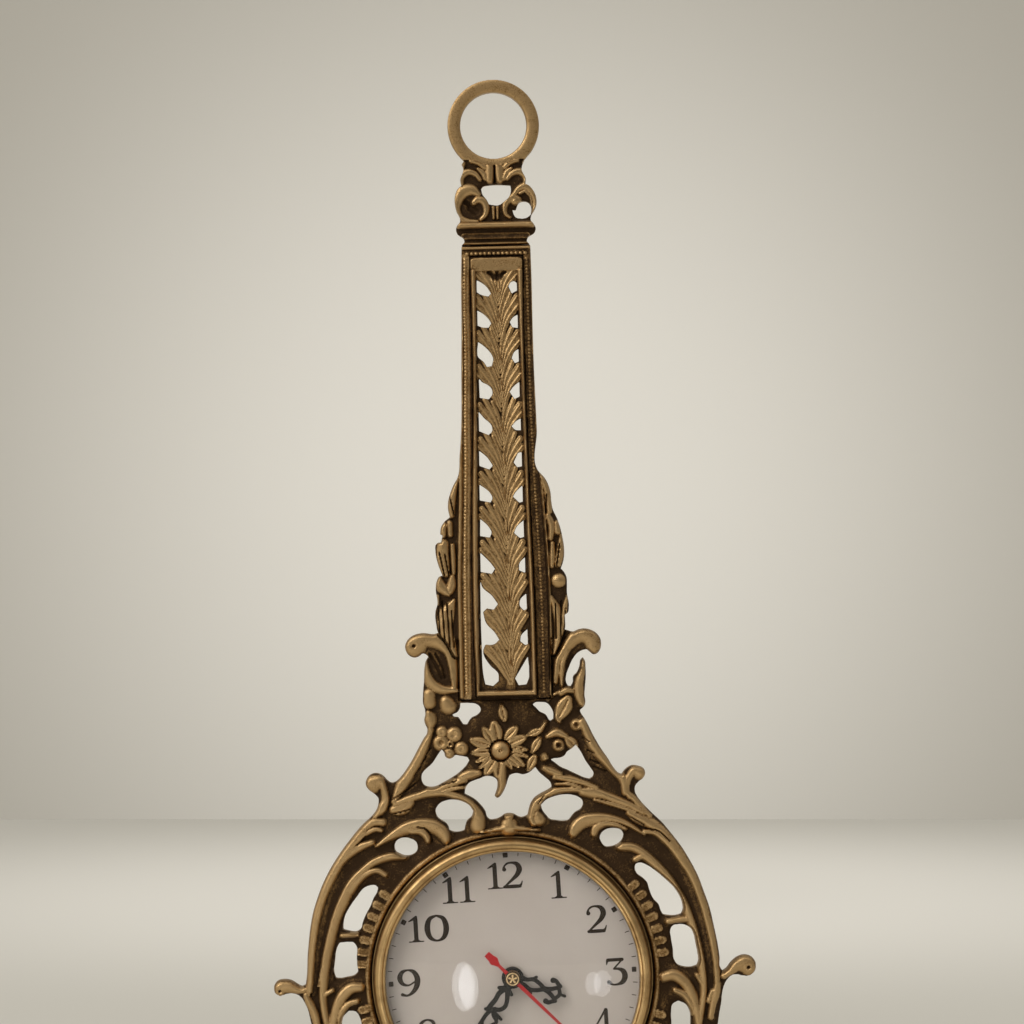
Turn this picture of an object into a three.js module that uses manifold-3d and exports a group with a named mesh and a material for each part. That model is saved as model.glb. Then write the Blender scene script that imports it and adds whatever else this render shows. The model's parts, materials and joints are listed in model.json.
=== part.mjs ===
/* Cartel clock: pierced brass castings around a round dial, with a battery quartz movement.
   The pieces are built as the clock hangs and is seen: x to the right, y up the wall, z towards
   the viewer, with the dial's axis at x = y = 0 and the castings' back at z = 0.
   The last group turns that into +Z up, with the point where the ring hangs at the origin. */
import * as THREE from 'three';
import { mergeVertices } from 'three/addons/utils/BufferGeometryUtils.js';
import Module from 'manifold-3d';

const wasm = await Module();
wasm.setup();

// Driving dimensions, in millimetres
const dial_radius = 54.5;
const tower_height = 193;
const tower_half_width = 20;
const crest_height = 38;
const ring_radius = 19.7;
const ring_band = 5.5;
const seat_gap = 0.3;
const cut_overrun = 1;

// Castings, depths from the back
const plate_thickness = 3;
const relief_rise = 4.2;
const ridge_width = 2;
const ridge_clearance = 0.6;
const tower_plate_thickness = 2.6;
const tower_step_thickness = 2.7;
const ledge_thickness = 1.7;
const foot_lip = 0.4;
const grille_thickness = 2.9;
const grille_border_rise = 1.4;
const prong_length = 29;
const prong_foot_lap = 1.2;
const crest_back = 2;
const crest_thickness = 4.5;
const crest_moulding_rise = 2.4;
const ring_thickness = 5.5;
const ring_chamfer = 1;
const tongue_thickness = 3;
const tongue_half_width = 11;
const tongue_reach_up = 10;
const boss_radius = 4.4;
const boss_height = 4.6;

// Bezel, lens, dial and rear drum
const lip_width = 1.7;
const lip_thickness = 1.4;
const lens_wall = 1.2;
const lens_over_hands = 0.1;
const dome_rise = 8.8;
const dome_inset = 0.4;
const bezel_width = 6;
const bezel_round = 0.75;
const skirt_wall = 1.2;
const card_rise = 0.3;
const card_thickness = 0.4;
const dial_plate_thickness = 1;
const crimp_thickness = 0.9;
const crimp_width = 1.2;
const opening_step = 2;
const drum_wall = 0.8;
const drum_depth = 17.7;
const front_flange_width = 6;
const rear_flange_width = 8;

// Screws
const screw_radius = 0.9;
const screw_head_radius = 1.8;
const screw_head_thickness = 1.2;
const screw_bite = 2;
const slot_width = 0.5;
const slot_depth = 0.4;

// Movement case, cell and contacts
const case_wall = 1.5;
const case_front_depth = 8.1;
const case_depth = 15.1;
const divider_y = -11;
const trough_depth = 13.5;
const cell_radius = 7;
const cell_length = 49.3;
const cell_nub_radius = 2.6;
const cell_nub_length = 1;
const contact_thickness = 0.4;
const contact_half_width = 4.5;
const spring_radius = 3;
const spring_length = 0.7;
const post_radius = 1.5;
const post_inset = 3.6;

// Bush, nut and washers on the dial's axis
const bush_wall = 0.75;
const bush_flange_width = 1.7;
const bush_flange_thickness = 0.5;
const rubber_washer_thickness = 0.8;
const rubber_washer_radius = 8.5;
const metal_washer_thickness = 0.3;
const nut_radius = 4.6;
const nut_thickness = 1.5;
const bush_above_nut = 0.2;

// Arbors, wheels and pinions
const running_gap = 0.3;
const second_arbor_radius = 0.45;
const pipe_wall = 0.8;
const hour_pipe_wall = 0.65;
const pin_radius = 0.4;
const pivot_depth = 0.5;
const wheel_thickness = 0.8;
const layer_gap = 0.4;
const motion_centres = 9.8;
const third_centres = 8.5;
const intermediate_centres = 9;
const rotor_centres = 7;
const magnet_radius = 3;
const magnet_thickness = 1.6;
const knob_shaft_radius = 0.9;
const knob_radius = 5.5;
const knob_thickness = 2;
const addendum_share = 0.6;
const dedendum_share = 1.15;

// Motor and circuit
const stator_thickness = 0.6;
const stator_margin = 1.7;
const coil_radius = 2.2;
const coil_clearance = 2.3;
const coil_length = 17;
const core_width = 1.8;
const board_width = 15;
const board_height = 16;
const board_thickness = 0.8;
const crystal_radius = 1;
const crystal_length = 6;

// Hands
const hour_hand_length = 24.5;
const minute_hand_clearance = 13.5;
const second_hand_clearance = 9.5;
const hand_thickness = 0.5;
const hub_thickness = 0.9;
const hour_hub_radius = 4.7;
const minute_hub_radius = 3.2;
const hub_gap = 0.35;
const minute_nut_radius = 2.7;
const cap_radius = 3.3;
const cap_height = 1.5;
const hour_hand_turn = THREE.MathUtils.degToRad(110.8);
const minute_hand_turn = THREE.MathUtils.degToRad(210.5);
const second_hand_turn = THREE.MathUtils.degToRad(134.9);

// Round pieces' sides
const large_sides = 36;
const small_sides = 12;

const brass = new THREE.MeshStandardMaterial({ color: 0xc09a50, metalness: 1, roughness: 0.35 });
const plated_steel = new THREE.MeshStandardMaterial({ color: 0xb8bcc0, metalness: 1, roughness: 0.4 });
const black_steel = new THREE.MeshStandardMaterial({ color: 0x1b1a18, metalness: 0.4, roughness: 0.5 });
const red_steel = new THREE.MeshStandardMaterial({ color: 0x8e1714, metalness: 0.1, roughness: 0.45 });
const glass = new THREE.MeshStandardMaterial({ color: 0xe8eef0, metalness: 0, roughness: 0.05 });
const card = new THREE.MeshStandardMaterial({ color: 0xddd6c8, metalness: 0, roughness: 0.7 });
const aluminium = new THREE.MeshStandardMaterial({ color: 0xb9bbbd, metalness: 1, roughness: 0.45 });
const black_plastic = new THREE.MeshStandardMaterial({ color: 0x202124, metalness: 0, roughness: 0.5 });
const white_plastic = new THREE.MeshStandardMaterial({ color: 0xe4e2da, metalness: 0, roughness: 0.5 });
const rubber = new THREE.MeshStandardMaterial({ color: 0x26262a, metalness: 0, roughness: 0.9 });
const copper = new THREE.MeshStandardMaterial({ color: 0xa85f36, metalness: 0.8, roughness: 0.4 });
const board_green = new THREE.MeshStandardMaterial({ color: 0x2c5a3c, metalness: 0, roughness: 0.6 });
const cell_jacket = new THREE.MeshStandardMaterial({ color: 0x35506e, metalness: 0.2, roughness: 0.4 });

/* Plan tables. The frame's points are in shares of the dial's radius, which holds 54.5 of them.
   The tower's and grille's x follow the tower's half width, which holds 20, and their heights
   run from the foot at 121 to the top at 314. The crest's x also follows that half width, and
   its heights run on to the foot of the ring at 352. */
const dial_radius_shares = 54.5;
const half_width_shares = 20;
const foot_share = 121;
const top_share = 314;
const ring_foot_share = 352;

const frame_left_shares = [
  [-20.5, 149.3], [-26, 149.5], [-30, 148], [-36, 148.4], [-39.5, 147.5], [-42, 145.5], [-43, 143],
  [-42.5, 140.5], [-41, 138.7], [-39, 138], [-36.8, 138.7], [-35.5, 139.7], [-34.5, 139.5],
  [-33, 138.2], [-34, 137], [-34.8, 134], [-35.2, 128], [-35.8, 122], [-35.8, 118], [-35.2, 116],
  [-35, 113.5], [-35.5, 111], [-35, 109], [-34.3, 107.5], [-34.4, 105.5], [-36, 103], [-38, 99],
  [-40.5, 95], [-43, 91], [-46, 87], [-48.5, 84.8], [-50, 84.4], [-52, 85.6], [-53.2, 87],
  [-55, 88.3], [-57, 88.7], [-59, 88.2], [-60.5, 86.8], [-61.3, 84.5], [-61, 83], [-60, 81.7],
  [-57, 79.3], [-56, 78], [-55.9, 76.5], [-56.3, 74.5], [-57.2, 72.5], [-58.5, 70.8],
  [-63, 66.7], [-66, 63.5], [-68.7, 60.2], [-72, 56], [-75.5, 51], [-78.5, 46], [-81, 41],
  [-83, 36], [-85, 30], [-86.3, 24], [-87.3, 17], [-88, 10], [-88.4, 3], [-89, -1.5],
  [-90.5, -2.2], [-92.5, -1.3], [-95, 0.3], [-98, 0.9], [-101, 0.3], [-102.7, -2], [-102.3, -4.7],
  [-100, -6.2], [-98, -5.5], [-95.5, -5], [-93, -5.5], [-91, -7], [-89.5, -9.5], [-88.3, -12.5],
  [-87.5, -16], [-86.7, -20], [-85.3, -26], [-83, -34], [-79.5, -42], [-75, -50], [-69.5, -57.5],
  [-64.5, -63], [-65.2, -66], [-67.5, -68.5], [-68, -72], [-66, -74.8], [-62.5, -75.5],
  [-59.5, -73.5], [-56.5, -73.5], [-53, -77], [-48, -80.5], [-43, -83.5], [-41.5, -86.5],
  [-42.7, -90], [-41, -93.5], [-37.5, -95], [-34, -93.6], [-32, -91.8], [-30.5, -94],
  [-29.3, -98], [-26.5, -101], [-23, -101.8], [-20.5, -105], [-17.3, -108.8], [-13.5, -110.2],
  [-11, -111.8], [-8.5, -115.2], [-5, -117.2], [-2.3, -118.5],
];
const frame_right_shares = [
  [20.5, 149.3], [26.5, 148.5], [29.5, 147.7], [31.5, 148.5], [34, 148.9], [37, 148.3],
  [39.5, 146.7], [41, 144.5], [41.3, 142], [40.7, 139.5], [39.3, 138], [37.8, 137.7],
  [36.5, 138.7], [35, 140], [33.5, 139.7], [31.5, 138.8], [29, 136], [27.3, 132.5], [26, 129],
  [25.8, 126.5], [26.5, 124.5], [27.8, 124.2], [28.7, 125.8], [29, 128.5], [30.5, 130],
  [31.8, 133], [32.3, 135.5], [33.3, 136.5], [34, 135.5], [34.4, 132], [34.4, 128], [34, 124],
  [33.7, 120], [34, 117.5], [33.7, 116], [31.5, 113.8], [32, 112.5], [33.3, 110.5], [35, 107],
  [37.5, 102], [40, 97.5], [43, 93], [45.5, 88.8], [47.5, 86.5], [48.8, 86], [50.5, 88],
  [53, 89.5], [56, 89.3], [58.5, 88], [59, 86], [58, 84], [56, 82.5], [54.5, 80.5], [54.5, 78],
  [55.5, 76], [57.5, 73.5], [60, 70.5], [62, 68.5], [66, 64.5], [70, 59.5], [74, 54], [77.5, 48],
  [80.5, 42], [83, 35], [85.3, 28], [87, 20], [88.5, 12], [89.2, 6], [89.3, 2], [90.3, 0.3],
  [92, 1.5], [94, 4], [96.5, 6], [99.5, 7], [102.5, 6.3], [104.5, 4], [104.7, 1.5],
  [103.5, -0.8], [101, -2], [98.5, -1.7], [96, -1.2], [94, -1.7], [92.3, -3.3], [90.8, -6],
  [90, -9], [89.5, -13], [88.5, -18], [87.5, -24], [85.5, -31], [82, -39.5], [77, -48],
  [71.5, -55.5], [66, -61.5], [66.3, -64.5], [68.7, -67.5], [69, -71.5], [66.5, -74.8],
  [63, -75.3], [60, -73.3], [57, -73], [53.5, -76.5], [48.5, -80], [43.5, -83], [42, -86.2],
  [43, -90], [41, -93.5], [37.5, -94.8], [34, -93.4], [32, -91.6], [30.5, -94], [29.5, -98],
  [26.5, -100.8], [23, -101.5], [20.5, -104.8], [17.3, -108.6], [13.5, -110], [11, -111.6],
  [8.5, -115], [5, -117.2], [2.3, -118.5],
];
const frame_holes_shares = [
  [[-31.5, 72], [-30, 74.8], [-27, 76.3], [-23.5, 76.6], [-20, 75.8], [-17, 74], [-15.3, 71.5],
    [-16, 69.3], [-18, 67.5], [-18.8, 65.5], [-19.3, 63.3], [-21.5, 62.7], [-24, 62.8],
    [-25.7, 63.5], [-26.3, 65.5], [-28.5, 67.5], [-31, 69.8]],
  [[-49.5, 57], [-48.5, 59.5], [-46, 60.7], [-42.5, 60.3], [-40.3, 59], [-39.6, 57], [-40, 54.8],
    [-42, 53.3], [-45, 53], [-47.5, 54], [-49, 55]],
  [[-58, 40.5], [-60, 40.6], [-63, 39.5], [-66, 36], [-69, 32], [-71.5, 27.5], [-72.3, 24],
    [-72.3, 21.8], [-70.5, 21.3], [-66, 21], [-64.7, 22], [-64, 24.5], [-62.5, 28], [-60.5, 31.5],
    [-59, 35], [-57.5, 37.5], [-57, 39.5]],
  [[-75, 14.5], [-74, 16.2], [-71, 16.5], [-68, 16.3], [-66.8, 14.5], [-66.8, 10], [-66.7, 6],
    [-66.5, 3.5], [-68, 2], [-71, 1.3], [-74, 0.8], [-76, 1], [-76.7, 3.5], [-76.3, 8]],
  [[-70.5, -13], [-73, -15.5], [-74, -19.5], [-73, -25], [-70, -32], [-66, -38], [-62, -41.5],
    [-59, -41.5], [-58, -39], [-60, -34], [-63, -28], [-65, -22], [-66, -16.5], [-67.5, -13.8]],
  [[-28.3, 98.3], [-30, 96], [-32, 93], [-35, 89.5], [-37.2, 87], [-37, 84.5], [-36, 83],
    [-34, 82.3], [-31.5, 82.4], [-28, 84], [-24, 86.5], [-20, 89], [-18, 91], [-16.5, 93.3],
    [-17.3, 94.8], [-19.5, 95.2], [-22.5, 95.8], [-23.5, 94.7], [-25.2, 94.2], [-26.7, 95],
    [-27.3, 97]],
  [[-19.8, 118], [-20, 116], [-21, 114.3], [-23.4, 113.2], [-22.8, 112.2], [-20.8, 112],
    [-19.8, 110.5], [-18.8, 108.9], [-17.2, 108.7], [-16.2, 110], [-15, 111.7], [-12.8, 112.7],
    [-11.2, 114.5], [-11.3, 116], [-13, 117.5], [-16, 118]],
  [[-14.5, 84.7], [-12, 85.5], [-10, 86.3], [-6.5, 86], [-5, 84.9], [-4.7, 82], [-5.5, 79.5],
    [-6, 77.8], [-5, 76.8], [-4, 77.2], [-2.5, 79], [-1, 82], [0, 85], [0.8, 86.7], [3.5, 87.4],
    [6.5, 86.8], [9, 87.5], [11.8, 89.8], [13.5, 87.5], [16, 85.3], [18.2, 83], [18.6, 81],
    [17, 80], [14, 78.5], [11, 76.5], [9.3, 74], [8.5, 71.5], [8, 69.3], [6.5, 68.6], [5, 68.4],
    [3.5, 69], [2.2, 69.8], [-2, 69.8], [-3.5, 68.7], [-6, 67.8], [-8.3, 67.8], [-9.5, 69],
    [-10, 71], [-12, 74], [-14.5, 76.5], [-17, 78], [-18.8, 79], [-18.5, 81], [-17, 83.5]],
  [[17.5, 67.3], [16, 69], [14.3, 71.5], [13.9, 73.5], [16, 75.5], [19.5, 77], [23, 77.7],
    [27, 77.6], [30, 76.6], [31.7, 75], [31.8, 73], [30.8, 71.3], [28.5, 70], [27, 68.5],
    [25.5, 66.7], [23, 66.3], [20, 66.7]],
  [[38.8, 59], [39.7, 61], [42, 62.5], [45.5, 62.8], [48, 62], [49, 60], [48, 57.3], [46, 55.7],
    [43.5, 54.9], [41, 55], [39.5, 56.8]],
  [[54, 47.3], [53.6, 45.5], [54.5, 43], [57, 41], [58.8, 39], [59.5, 36.5], [60.5, 34],
    [61.5, 31.7], [63.5, 29.5], [64.3, 27], [65.2, 25.2], [67, 24.8], [70.5, 24.6], [73, 25.2],
    [73.8, 27], [73.7, 29.5], [72.5, 33], [70, 37], [66.5, 40.5], [62.5, 44], [59, 46.5],
    [56, 47.7]],
  [[68.3, 18.5], [69, 20], [71.5, 20.9], [74.5, 20.6], [77, 19], [78.2, 16.5], [79, 12.5],
    [79.8, 8], [80, 5], [79.3, 3], [77, 2.3], [73.5, 2.5], [71, 3.5], [69.5, 6], [69.2, 10],
    [68.5, 15]],
  [[71, -12], [68.5, -13.5], [67.8, -17], [67.8, -22], [66.8, -27], [64.5, -32], [61.5, -38],
    [60.5, -43.5], [64, -44], [69, -40], [73, -34], [75.5, -28], [76, -22], [75.8, -17],
    [74, -13.5]],
  [[29.4, 99], [31.5, 96], [33.5, 92], [35.5, 89], [36.8, 86.5], [36.5, 85.3], [35, 84.2],
    [33, 84.7], [29.5, 86.3], [25.5, 88.3], [22.5, 89.7], [20.5, 91.3], [18.3, 92.9], [20, 93.4],
    [22.5, 93.6], [24.5, 94.5], [25.5, 96], [27.8, 97.5]],
  [[11.2, 116.7], [12.3, 117.5], [15, 117.7], [17.3, 117.3], [19, 115.5], [20, 113],
    [20, 110.3], [18.6, 109.4], [17.8, 110.5], [17, 112], [15.5, 112.9], [14, 113.8],
    [12.5, 115.5]],
  [[-47, -60.5], [-49.5, -62.5], [-49, -66], [-45, -70], [-40, -73.5], [-35, -76.3],
    [-31.5, -77], [-30.3, -74.8], [-32.5, -71.7], [-37, -68.7], [-41.5, -65], [-44.5, -61.8]],
  [[47.5, -60], [50, -62.3], [49.5, -66], [45.5, -70], [40.5, -73.3], [35.5, -76], [31.8, -76.8],
    [30.5, -74.6], [32.7, -71.5], [37.3, -68.5], [41.8, -64.7], [45, -61.5]],
  [[-19.5, -80.5], [-22.8, -82.5], [-23.6, -86.5], [-21, -90.5], [-16.5, -92.3], [-12.3, -91],
    [-10.3, -87.3], [-11.3, -83.4], [-15, -80.8]],
  [[19.5, -80.3], [22.8, -82.3], [23.6, -86.3], [21, -90.3], [16.5, -92], [12.3, -90.8],
    [10.3, -87.2], [11.3, -83.2], [15, -80.6]],
];
/* Raised bands on the frame: points along the middle, each with its half width. */
const frame_bands_shares = [
  [[-79.5, -12, 1.4], [-81, 0, 1.6], [-80.5, 8, 1.6], [-78.5, 18, 1.6], [-75, 30, 1.6],
    [-70, 40, 1.6], [-63, 48, 1.6], [-55, 50.5, 1.4], [-50.5, 50.5, 1.2]],
  [[-86, -18, 1], [-86.3, 3, 1.6], [-84.5, 20, 1.7], [-80.5, 35, 1.7], [-74.5, 48, 1.7],
    [-66, 59.5, 1.7], [-59, 67, 1.5], [-55, 73, 1.1]],
  [[86.7, -18, 1], [87, 4, 1.5], [85, 20, 1.6], [81, 35, 1.6], [75, 48, 1.6], [66.5, 60.5, 1.6],
    [59.5, 67.5, 1.5], [55, 73.5, 1.1]],
  [[51, 57.5, 1.2], [58, 53.5, 1.4], [64, 48, 1.6], [70, 40.5, 1.6], [76, 30, 1.6],
    [79.5, 20, 1.4], [82.2, 8, 1.4], [82.5, -8, 1.4]],
  [[-31, 79.3, 1.3], [-25, 79.2, 1.4], [-19.5, 78.6, 0.5]],
  [[-52, 83, 0.9], [-46, 82.8, 1.4], [-41, 90, 1.5], [-37, 98, 1.3], [-35.5, 104, 0.7]],
  [[50, 83.5, 0.9], [45, 84.8, 1.4], [40.5, 92.5, 1.4], [36, 100.5, 1.3], [33.5, 107, 0.8]],
  [[-12.5, 87.8, 0.6], [-20, 86, 1], [-28, 81.9, 0.4]],
  [[-38, 143, 1.6], [-36, 145.8, 1.4], [-31, 145, 1.4], [-27, 141.5, 1.4], [-25, 138, 1.2],
    [-24, 130, 0.9]],
  [[-21.5, 123.5, 1], [-26, 124.8, 1.8], [-30, 127.5, 1.8], [-32.5, 132, 1.2], [-33, 135, 0.6]],
  [[38.5, 143.5, 1.6], [34.5, 145.5, 1.3], [29, 144.2, 1.3], [26, 139.5, 1.2], [23.3, 130, 0.9]],
  [[22, 121.5, 1], [27, 121.5, 1.3], [31.5, 124, 1.3], [33, 130, 0.8]],
  [[-57, 57.8, 1.6], [-50, 63.2, 2.2], [-42, 67, 2.4], [-35, 66.5, 2.2], [-30, 64, 1.4]],
  [[56.5, 60, 1.6], [50, 65.5, 1.8], [42, 67.5, 2.2], [35, 67.5, 2.2], [29, 65.5, 1.4]],
  [[-89, -3.8, 1], [-93, -2.6, 1.4], [-98, -2.2, 2.2], [-100.3, -3, 1.8]],
  [[91, -0.8, 1], [94.5, 1.5, 1.5], [99, 2.8, 2.6], [101.7, 2.2, 2]],
  [[-83.7, -24, 1.2], [-79.5, -35, 1.6], [-72, -47.5, 1.7], [-63, -58, 1.7], [-56, -66, 1.4],
    [-50, -72.5, 1]],
  [[84.7, -24, 1.2], [80.5, -35, 1.6], [73, -47.5, 1.7], [64, -58, 1.7], [56.5, -66, 1.4],
    [50.5, -72.5, 1]],
  [[-61, -69.5, 1], [-63.8, -71.3, 2], [-64.5, -72, 1.6]],
  [[61.5, -69.5, 1], [64.7, -71.2, 2], [65.5, -72, 1.6]],
  [[-44, -76.5, 1.2], [-38.5, -84, 1.6], [-37.8, -90.3, 2.4]],
  [[44.5, -76.3, 1.2], [39, -84, 1.6], [38, -90, 2.4]],
  [[0, -68.5, 3.5], [0, -78, 5.5], [0, -88, 6.5], [0, -96, 5], [0, -104, 3], [0, -112, 1.5]],
  [[-4, -97, 1], [-11.5, -100.5, 1.6], [-20, -97.5, 1.6]],
  [[4, -97, 1], [11.5, -100.3, 1.6], [20, -97.3, 1.6]],
  [[-2.5, 88.5, 1], [-1.5, 91.3, 1.6], [-2.5, 92.6, 1]],
];
const boss_place_shares = [-3, 97.5];

const tower_left_shares = [
  [-14.8, 314], [-15.3, 300], [-15.6, 280], [-16, 265], [-16.4, 255], [-17, 240], [-17.6, 225],
  [-19, 214.5], [-20.5, 212], [-22, 208.5], [-23, 205], [-23.2, 202], [-22.5, 198], [-25, 196],
  [-26.3, 194], [-26.8, 190.8], [-25.8, 190.2], [-26.5, 187.3], [-27.8, 187.2], [-28.8, 186.3],
  [-29, 184], [-28.7, 181], [-28, 178], [-26.2, 173], [-27.5, 172.7], [-28.8, 170.5],
  [-29.2, 167.5], [-28.7, 160.5], [-29.5, 158], [-29.7, 155.5], [-29.2, 151], [-20, 151],
  [-20, 119.6],
];
const tower_right_shares = [
  [14.8, 314], [15, 300], [15, 280], [15.1, 265], [15.3, 255], [15.8, 235], [16.1, 217],
  [18.5, 214.3], [20, 211.5], [21, 208], [21.3, 204], [21.7, 201], [23.8, 196], [25, 192],
  [25.8, 188], [26.3, 184], [26.2, 180], [25.5, 177], [24.7, 175], [25.8, 173.8], [27, 171.5],
  [27.2, 168], [27.1, 165], [27.4, 162], [27.8, 158.5], [27.3, 156], [26, 155], [26.1, 151],
  [19.8, 151], [19.5, 119.6],
];
const tower_step_shares = [
  [-13.6, 314], [-15.4, 265], [-16, 220], [-17.7, 170], [-18.3, 119.6],
  [17.9, 119.6], [17.6, 170], [15, 225], [14.4, 265], [13.6, 314],
];
const grille_shares = [
  [-11.2, 309.5], [-11, 280], [-11.2, 250], [-12, 220], [-13, 190], [-13.3, 150], [-12.7, 120.8],
  [13.3, 120.8], [13, 160], [12.7, 175], [12, 205], [11.5, 240], [11, 280], [11.3, 309.5],
];
const grille_inner_shares = [
  [-9, 304], [-9, 255], [-9.6, 220], [-10, 190], [-10.3, 150], [-9.7, 124],
  [10, 124], [10.2, 145], [9.8, 175], [9.4, 205], [9.2, 240], [9, 304],
];
const grille_windows_shares = [
  [[-8.6, 299.5], [-7, 298.6], [-4.7, 296.8], [-2.6, 293.7], [-3.7, 292.4], [-7, 293.3],
    [-8.6, 294.3]],
  [[-8.6, 286.5], [-6, 284.8], [-4, 282.8], [-2.8, 280.8], [-4, 279], [-7, 279.3], [-8.6, 280]],
  [[-8.6, 273], [-6, 271], [-4, 269], [-2.3, 265.6], [-3, 262.5], [-5, 262.2], [-6.3, 264.3],
    [-8.6, 266.4]],
  [[-8.6, 257.3], [-7, 255.5], [-5, 254.5], [-3.3, 252.8], [-3, 250.5], [-4.5, 248.3],
    [-8.4, 249]],
  [[-9, 243], [-7, 240.5], [-3.5, 236.5], [-3.5, 234.5], [-5, 233], [-9, 234.7]],
  [[-9.2, 226.3], [-6, 223.5], [-3.5, 219.8], [-5, 218.2], [-9.2, 219.8]],
  [[-9.4, 211.8], [-4.8, 207.8], [-4, 206], [-4.8, 204], [-9.4, 205]],
  [[-9.4, 197], [-6, 193.7], [-4.7, 191], [-5.5, 189], [-9.6, 189.7]],
  [[-9.7, 182.5], [-5, 177.5], [-3.6, 175.5], [-5, 173.4], [-9.7, 174.3]],
  [[-10, 171], [-9.3, 168], [-5, 163.8], [-2.7, 160.3], [-4.5, 158], [-7.5, 158.6], [-9.1, 157],
    [-8, 152.5], [-4, 147.7], [-2.5, 145], [-4.5, 143.2], [-8.5, 143], [-9.4, 140.5],
    [-6.5, 134], [-3.2, 130.5], [-3.1, 127.3], [-5.5, 125.2], [-8.8, 126], [-9.3, 128.5],
    [-10, 145]],
  [[5, 296.6], [6, 298.3], [7.5, 298.7], [8.5, 298], [8.6, 294.7], [6.3, 293.5]],
  [[8.6, 284.3], [7, 283.5], [5.2, 281.3], [6.3, 279], [8.6, 278.6]],
  [[8.6, 269.6], [7, 268.5], [5.7, 265.8], [7, 263.6], [8.7, 264.2]],
  [[8.7, 255.5], [6, 253.3], [4.5, 251.3], [6.5, 248.2], [8.7, 249.2]],
  [[8.9, 239.7], [7.5, 239], [5, 236.5], [6.5, 235], [8.9, 234.7]],
  [[9, 225.3], [7.5, 225], [5.5, 221], [7, 218.9], [9, 219.2]],
  [[9, 211], [6, 208], [4.9, 206.3], [7.5, 203.7], [9, 204]],
  [[9.1, 196], [6, 193], [5, 190.7], [7.5, 188.5], [9.2, 188.9]],
  [[9.4, 180.3], [7, 177.5], [6.8, 174.6], [9.4, 173.5]],
  [[9.6, 164.6], [7, 162], [6.8, 159.3], [8.5, 157.4], [9.7, 158]],
  [[9.7, 149.3], [7, 146.5], [6.6, 144.2], [8.7, 142.5], [9.8, 142.9]],
  [[9.7, 137.6], [6.5, 132.5], [4, 128.3], [5.5, 125.3], [8.8, 125.6], [9.8, 128]],
];

const crest_shares = [
  [-16, 352.6], [-13.3, 347.4], [-14.7, 342.5], [-14.3, 340.3], [-16, 338.8], [-17.2, 335.5],
  [-17.2, 332], [-16.5, 329], [-15.3, 326.5], [-15.2, 324.8], [-16.5, 323.2], [-17, 321.5],
  [-16.5, 319.7], [-13.7, 317.3], [-13.5, 316.2], [-14.8, 314.4], [14.5, 314.4], [13.3, 316],
  [13.7, 317.3], [16.8, 319.7], [17.3, 321.3], [16.5, 323.3], [15.2, 325], [15.5, 327],
  [16.8, 329], [17.8, 331.5], [17.8, 334.5], [16.7, 337.5], [14.5, 340], [13.3, 340.5],
  [13.5, 342.5], [11.8, 347], [14.5, 352.6],
];
const crest_holes_shares = [
  [[-5.8, 338.8], [-5, 339.7], [-2.5, 340.2], [3, 340.3], [6.8, 340], [7, 338.5], [6.3, 335.5],
    [3.5, 332.8], [2, 331.8], [-2.5, 332], [-3.5, 334], [-5.3, 336.5]],
  [[7.5, 329.5], [7.8, 328], [8.8, 326.3], [11, 325.7], [13.5, 326], [15.3, 327.3], [15.5, 330.5],
    [14.5, 332.3], [12.5, 333], [10.5, 332.5], [8.8, 329.3]],
];
const cornice_shares = [
  [-16.4, 319.9], [-17, 321.5], [-16.4, 323.1], [16.6, 323.1], [17.2, 321.4], [16.6, 319.9],
];
const crest_bands_shares = [
  [[-7, 336, 1], [-11, 337.8, 1.5], [-14.3, 335, 1.5], [-14.7, 331, 1.5], [-12.5, 327.5, 1.3],
    [-8, 325.8, 1]],
  [[9.5, 337.3, 1.2], [13.3, 336.8, 1.5], [15.8, 334, 1.2], [16, 331.5, 0.8]],
  [[0, 350, 3], [0, 345, 3.4], [0, 342, 1.2]],
];

const hour_hand_shares = [
  [4, 1.4], [6, 1.9], [8, 2.5], [9.2, 3.7], [10, 3.3], [9.9, 2.1], [12, 0.9], [14.4, 0.75],
  [16.6, 1.5], [18.9, 2.6], [17.9, 3.6], [16.5, 3.8], [15.7, 4.6], [16.5, 5.4], [18, 5.4],
  [19.6, 4.5], [20.6, 3.3], [21.3, 1.3], [22.4, 0.5], [23.6, 0.7], [24.5, 0.1],
];
const hour_hand_holes_shares = [
  [[5.6, 0], [6, 0.8], [8.3, 1.2], [10, 0.7], [11.2, 0]],
  [[16.6, 0], [18.2, 1.1], [19.7, 1.8], [20.1, 1], [20.5, 0]],
];
const minute_hand_shares = [
  [1.6, 1.6], [5.6, 2.2], [6, 3.3], [7, 3.2], [7.6, 2.5], [9.6, 3.3], [10.6, 2.8], [12.8, 3.3],
  [13.8, 2.7], [15.4, 2], [16.8, 2.9], [17.8, 4.3], [18.8, 3.9], [19.4, 3], [21.5, 3.1],
  [24, 2.7], [27, 1.8], [30, 1.1], [35, 0.7], [41, 0.15],
];
const minute_hand_holes_shares = [
  [[7.4, 0], [8.2, 1.2], [10.5, 1.7], [12.8, 1.5], [14.4, 0]],
  [[17.8, 0], [18.8, 1.2], [21.2, 1.8], [24, 1.5], [27.2, 0]],
];
const second_hand_shares = [
  [-15.3, 1.35], [-12.6, 1.55], [-11.6, 1.9], [-10.6, 1.95], [-9.5, 1.3], [-8, 0.65],
  [0, 0.85], [45, 0.4],
];
const hour_hand_length_shares = 24.5;
const minute_hand_length_shares = 41;
const second_hand_length_shares = 45;

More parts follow.
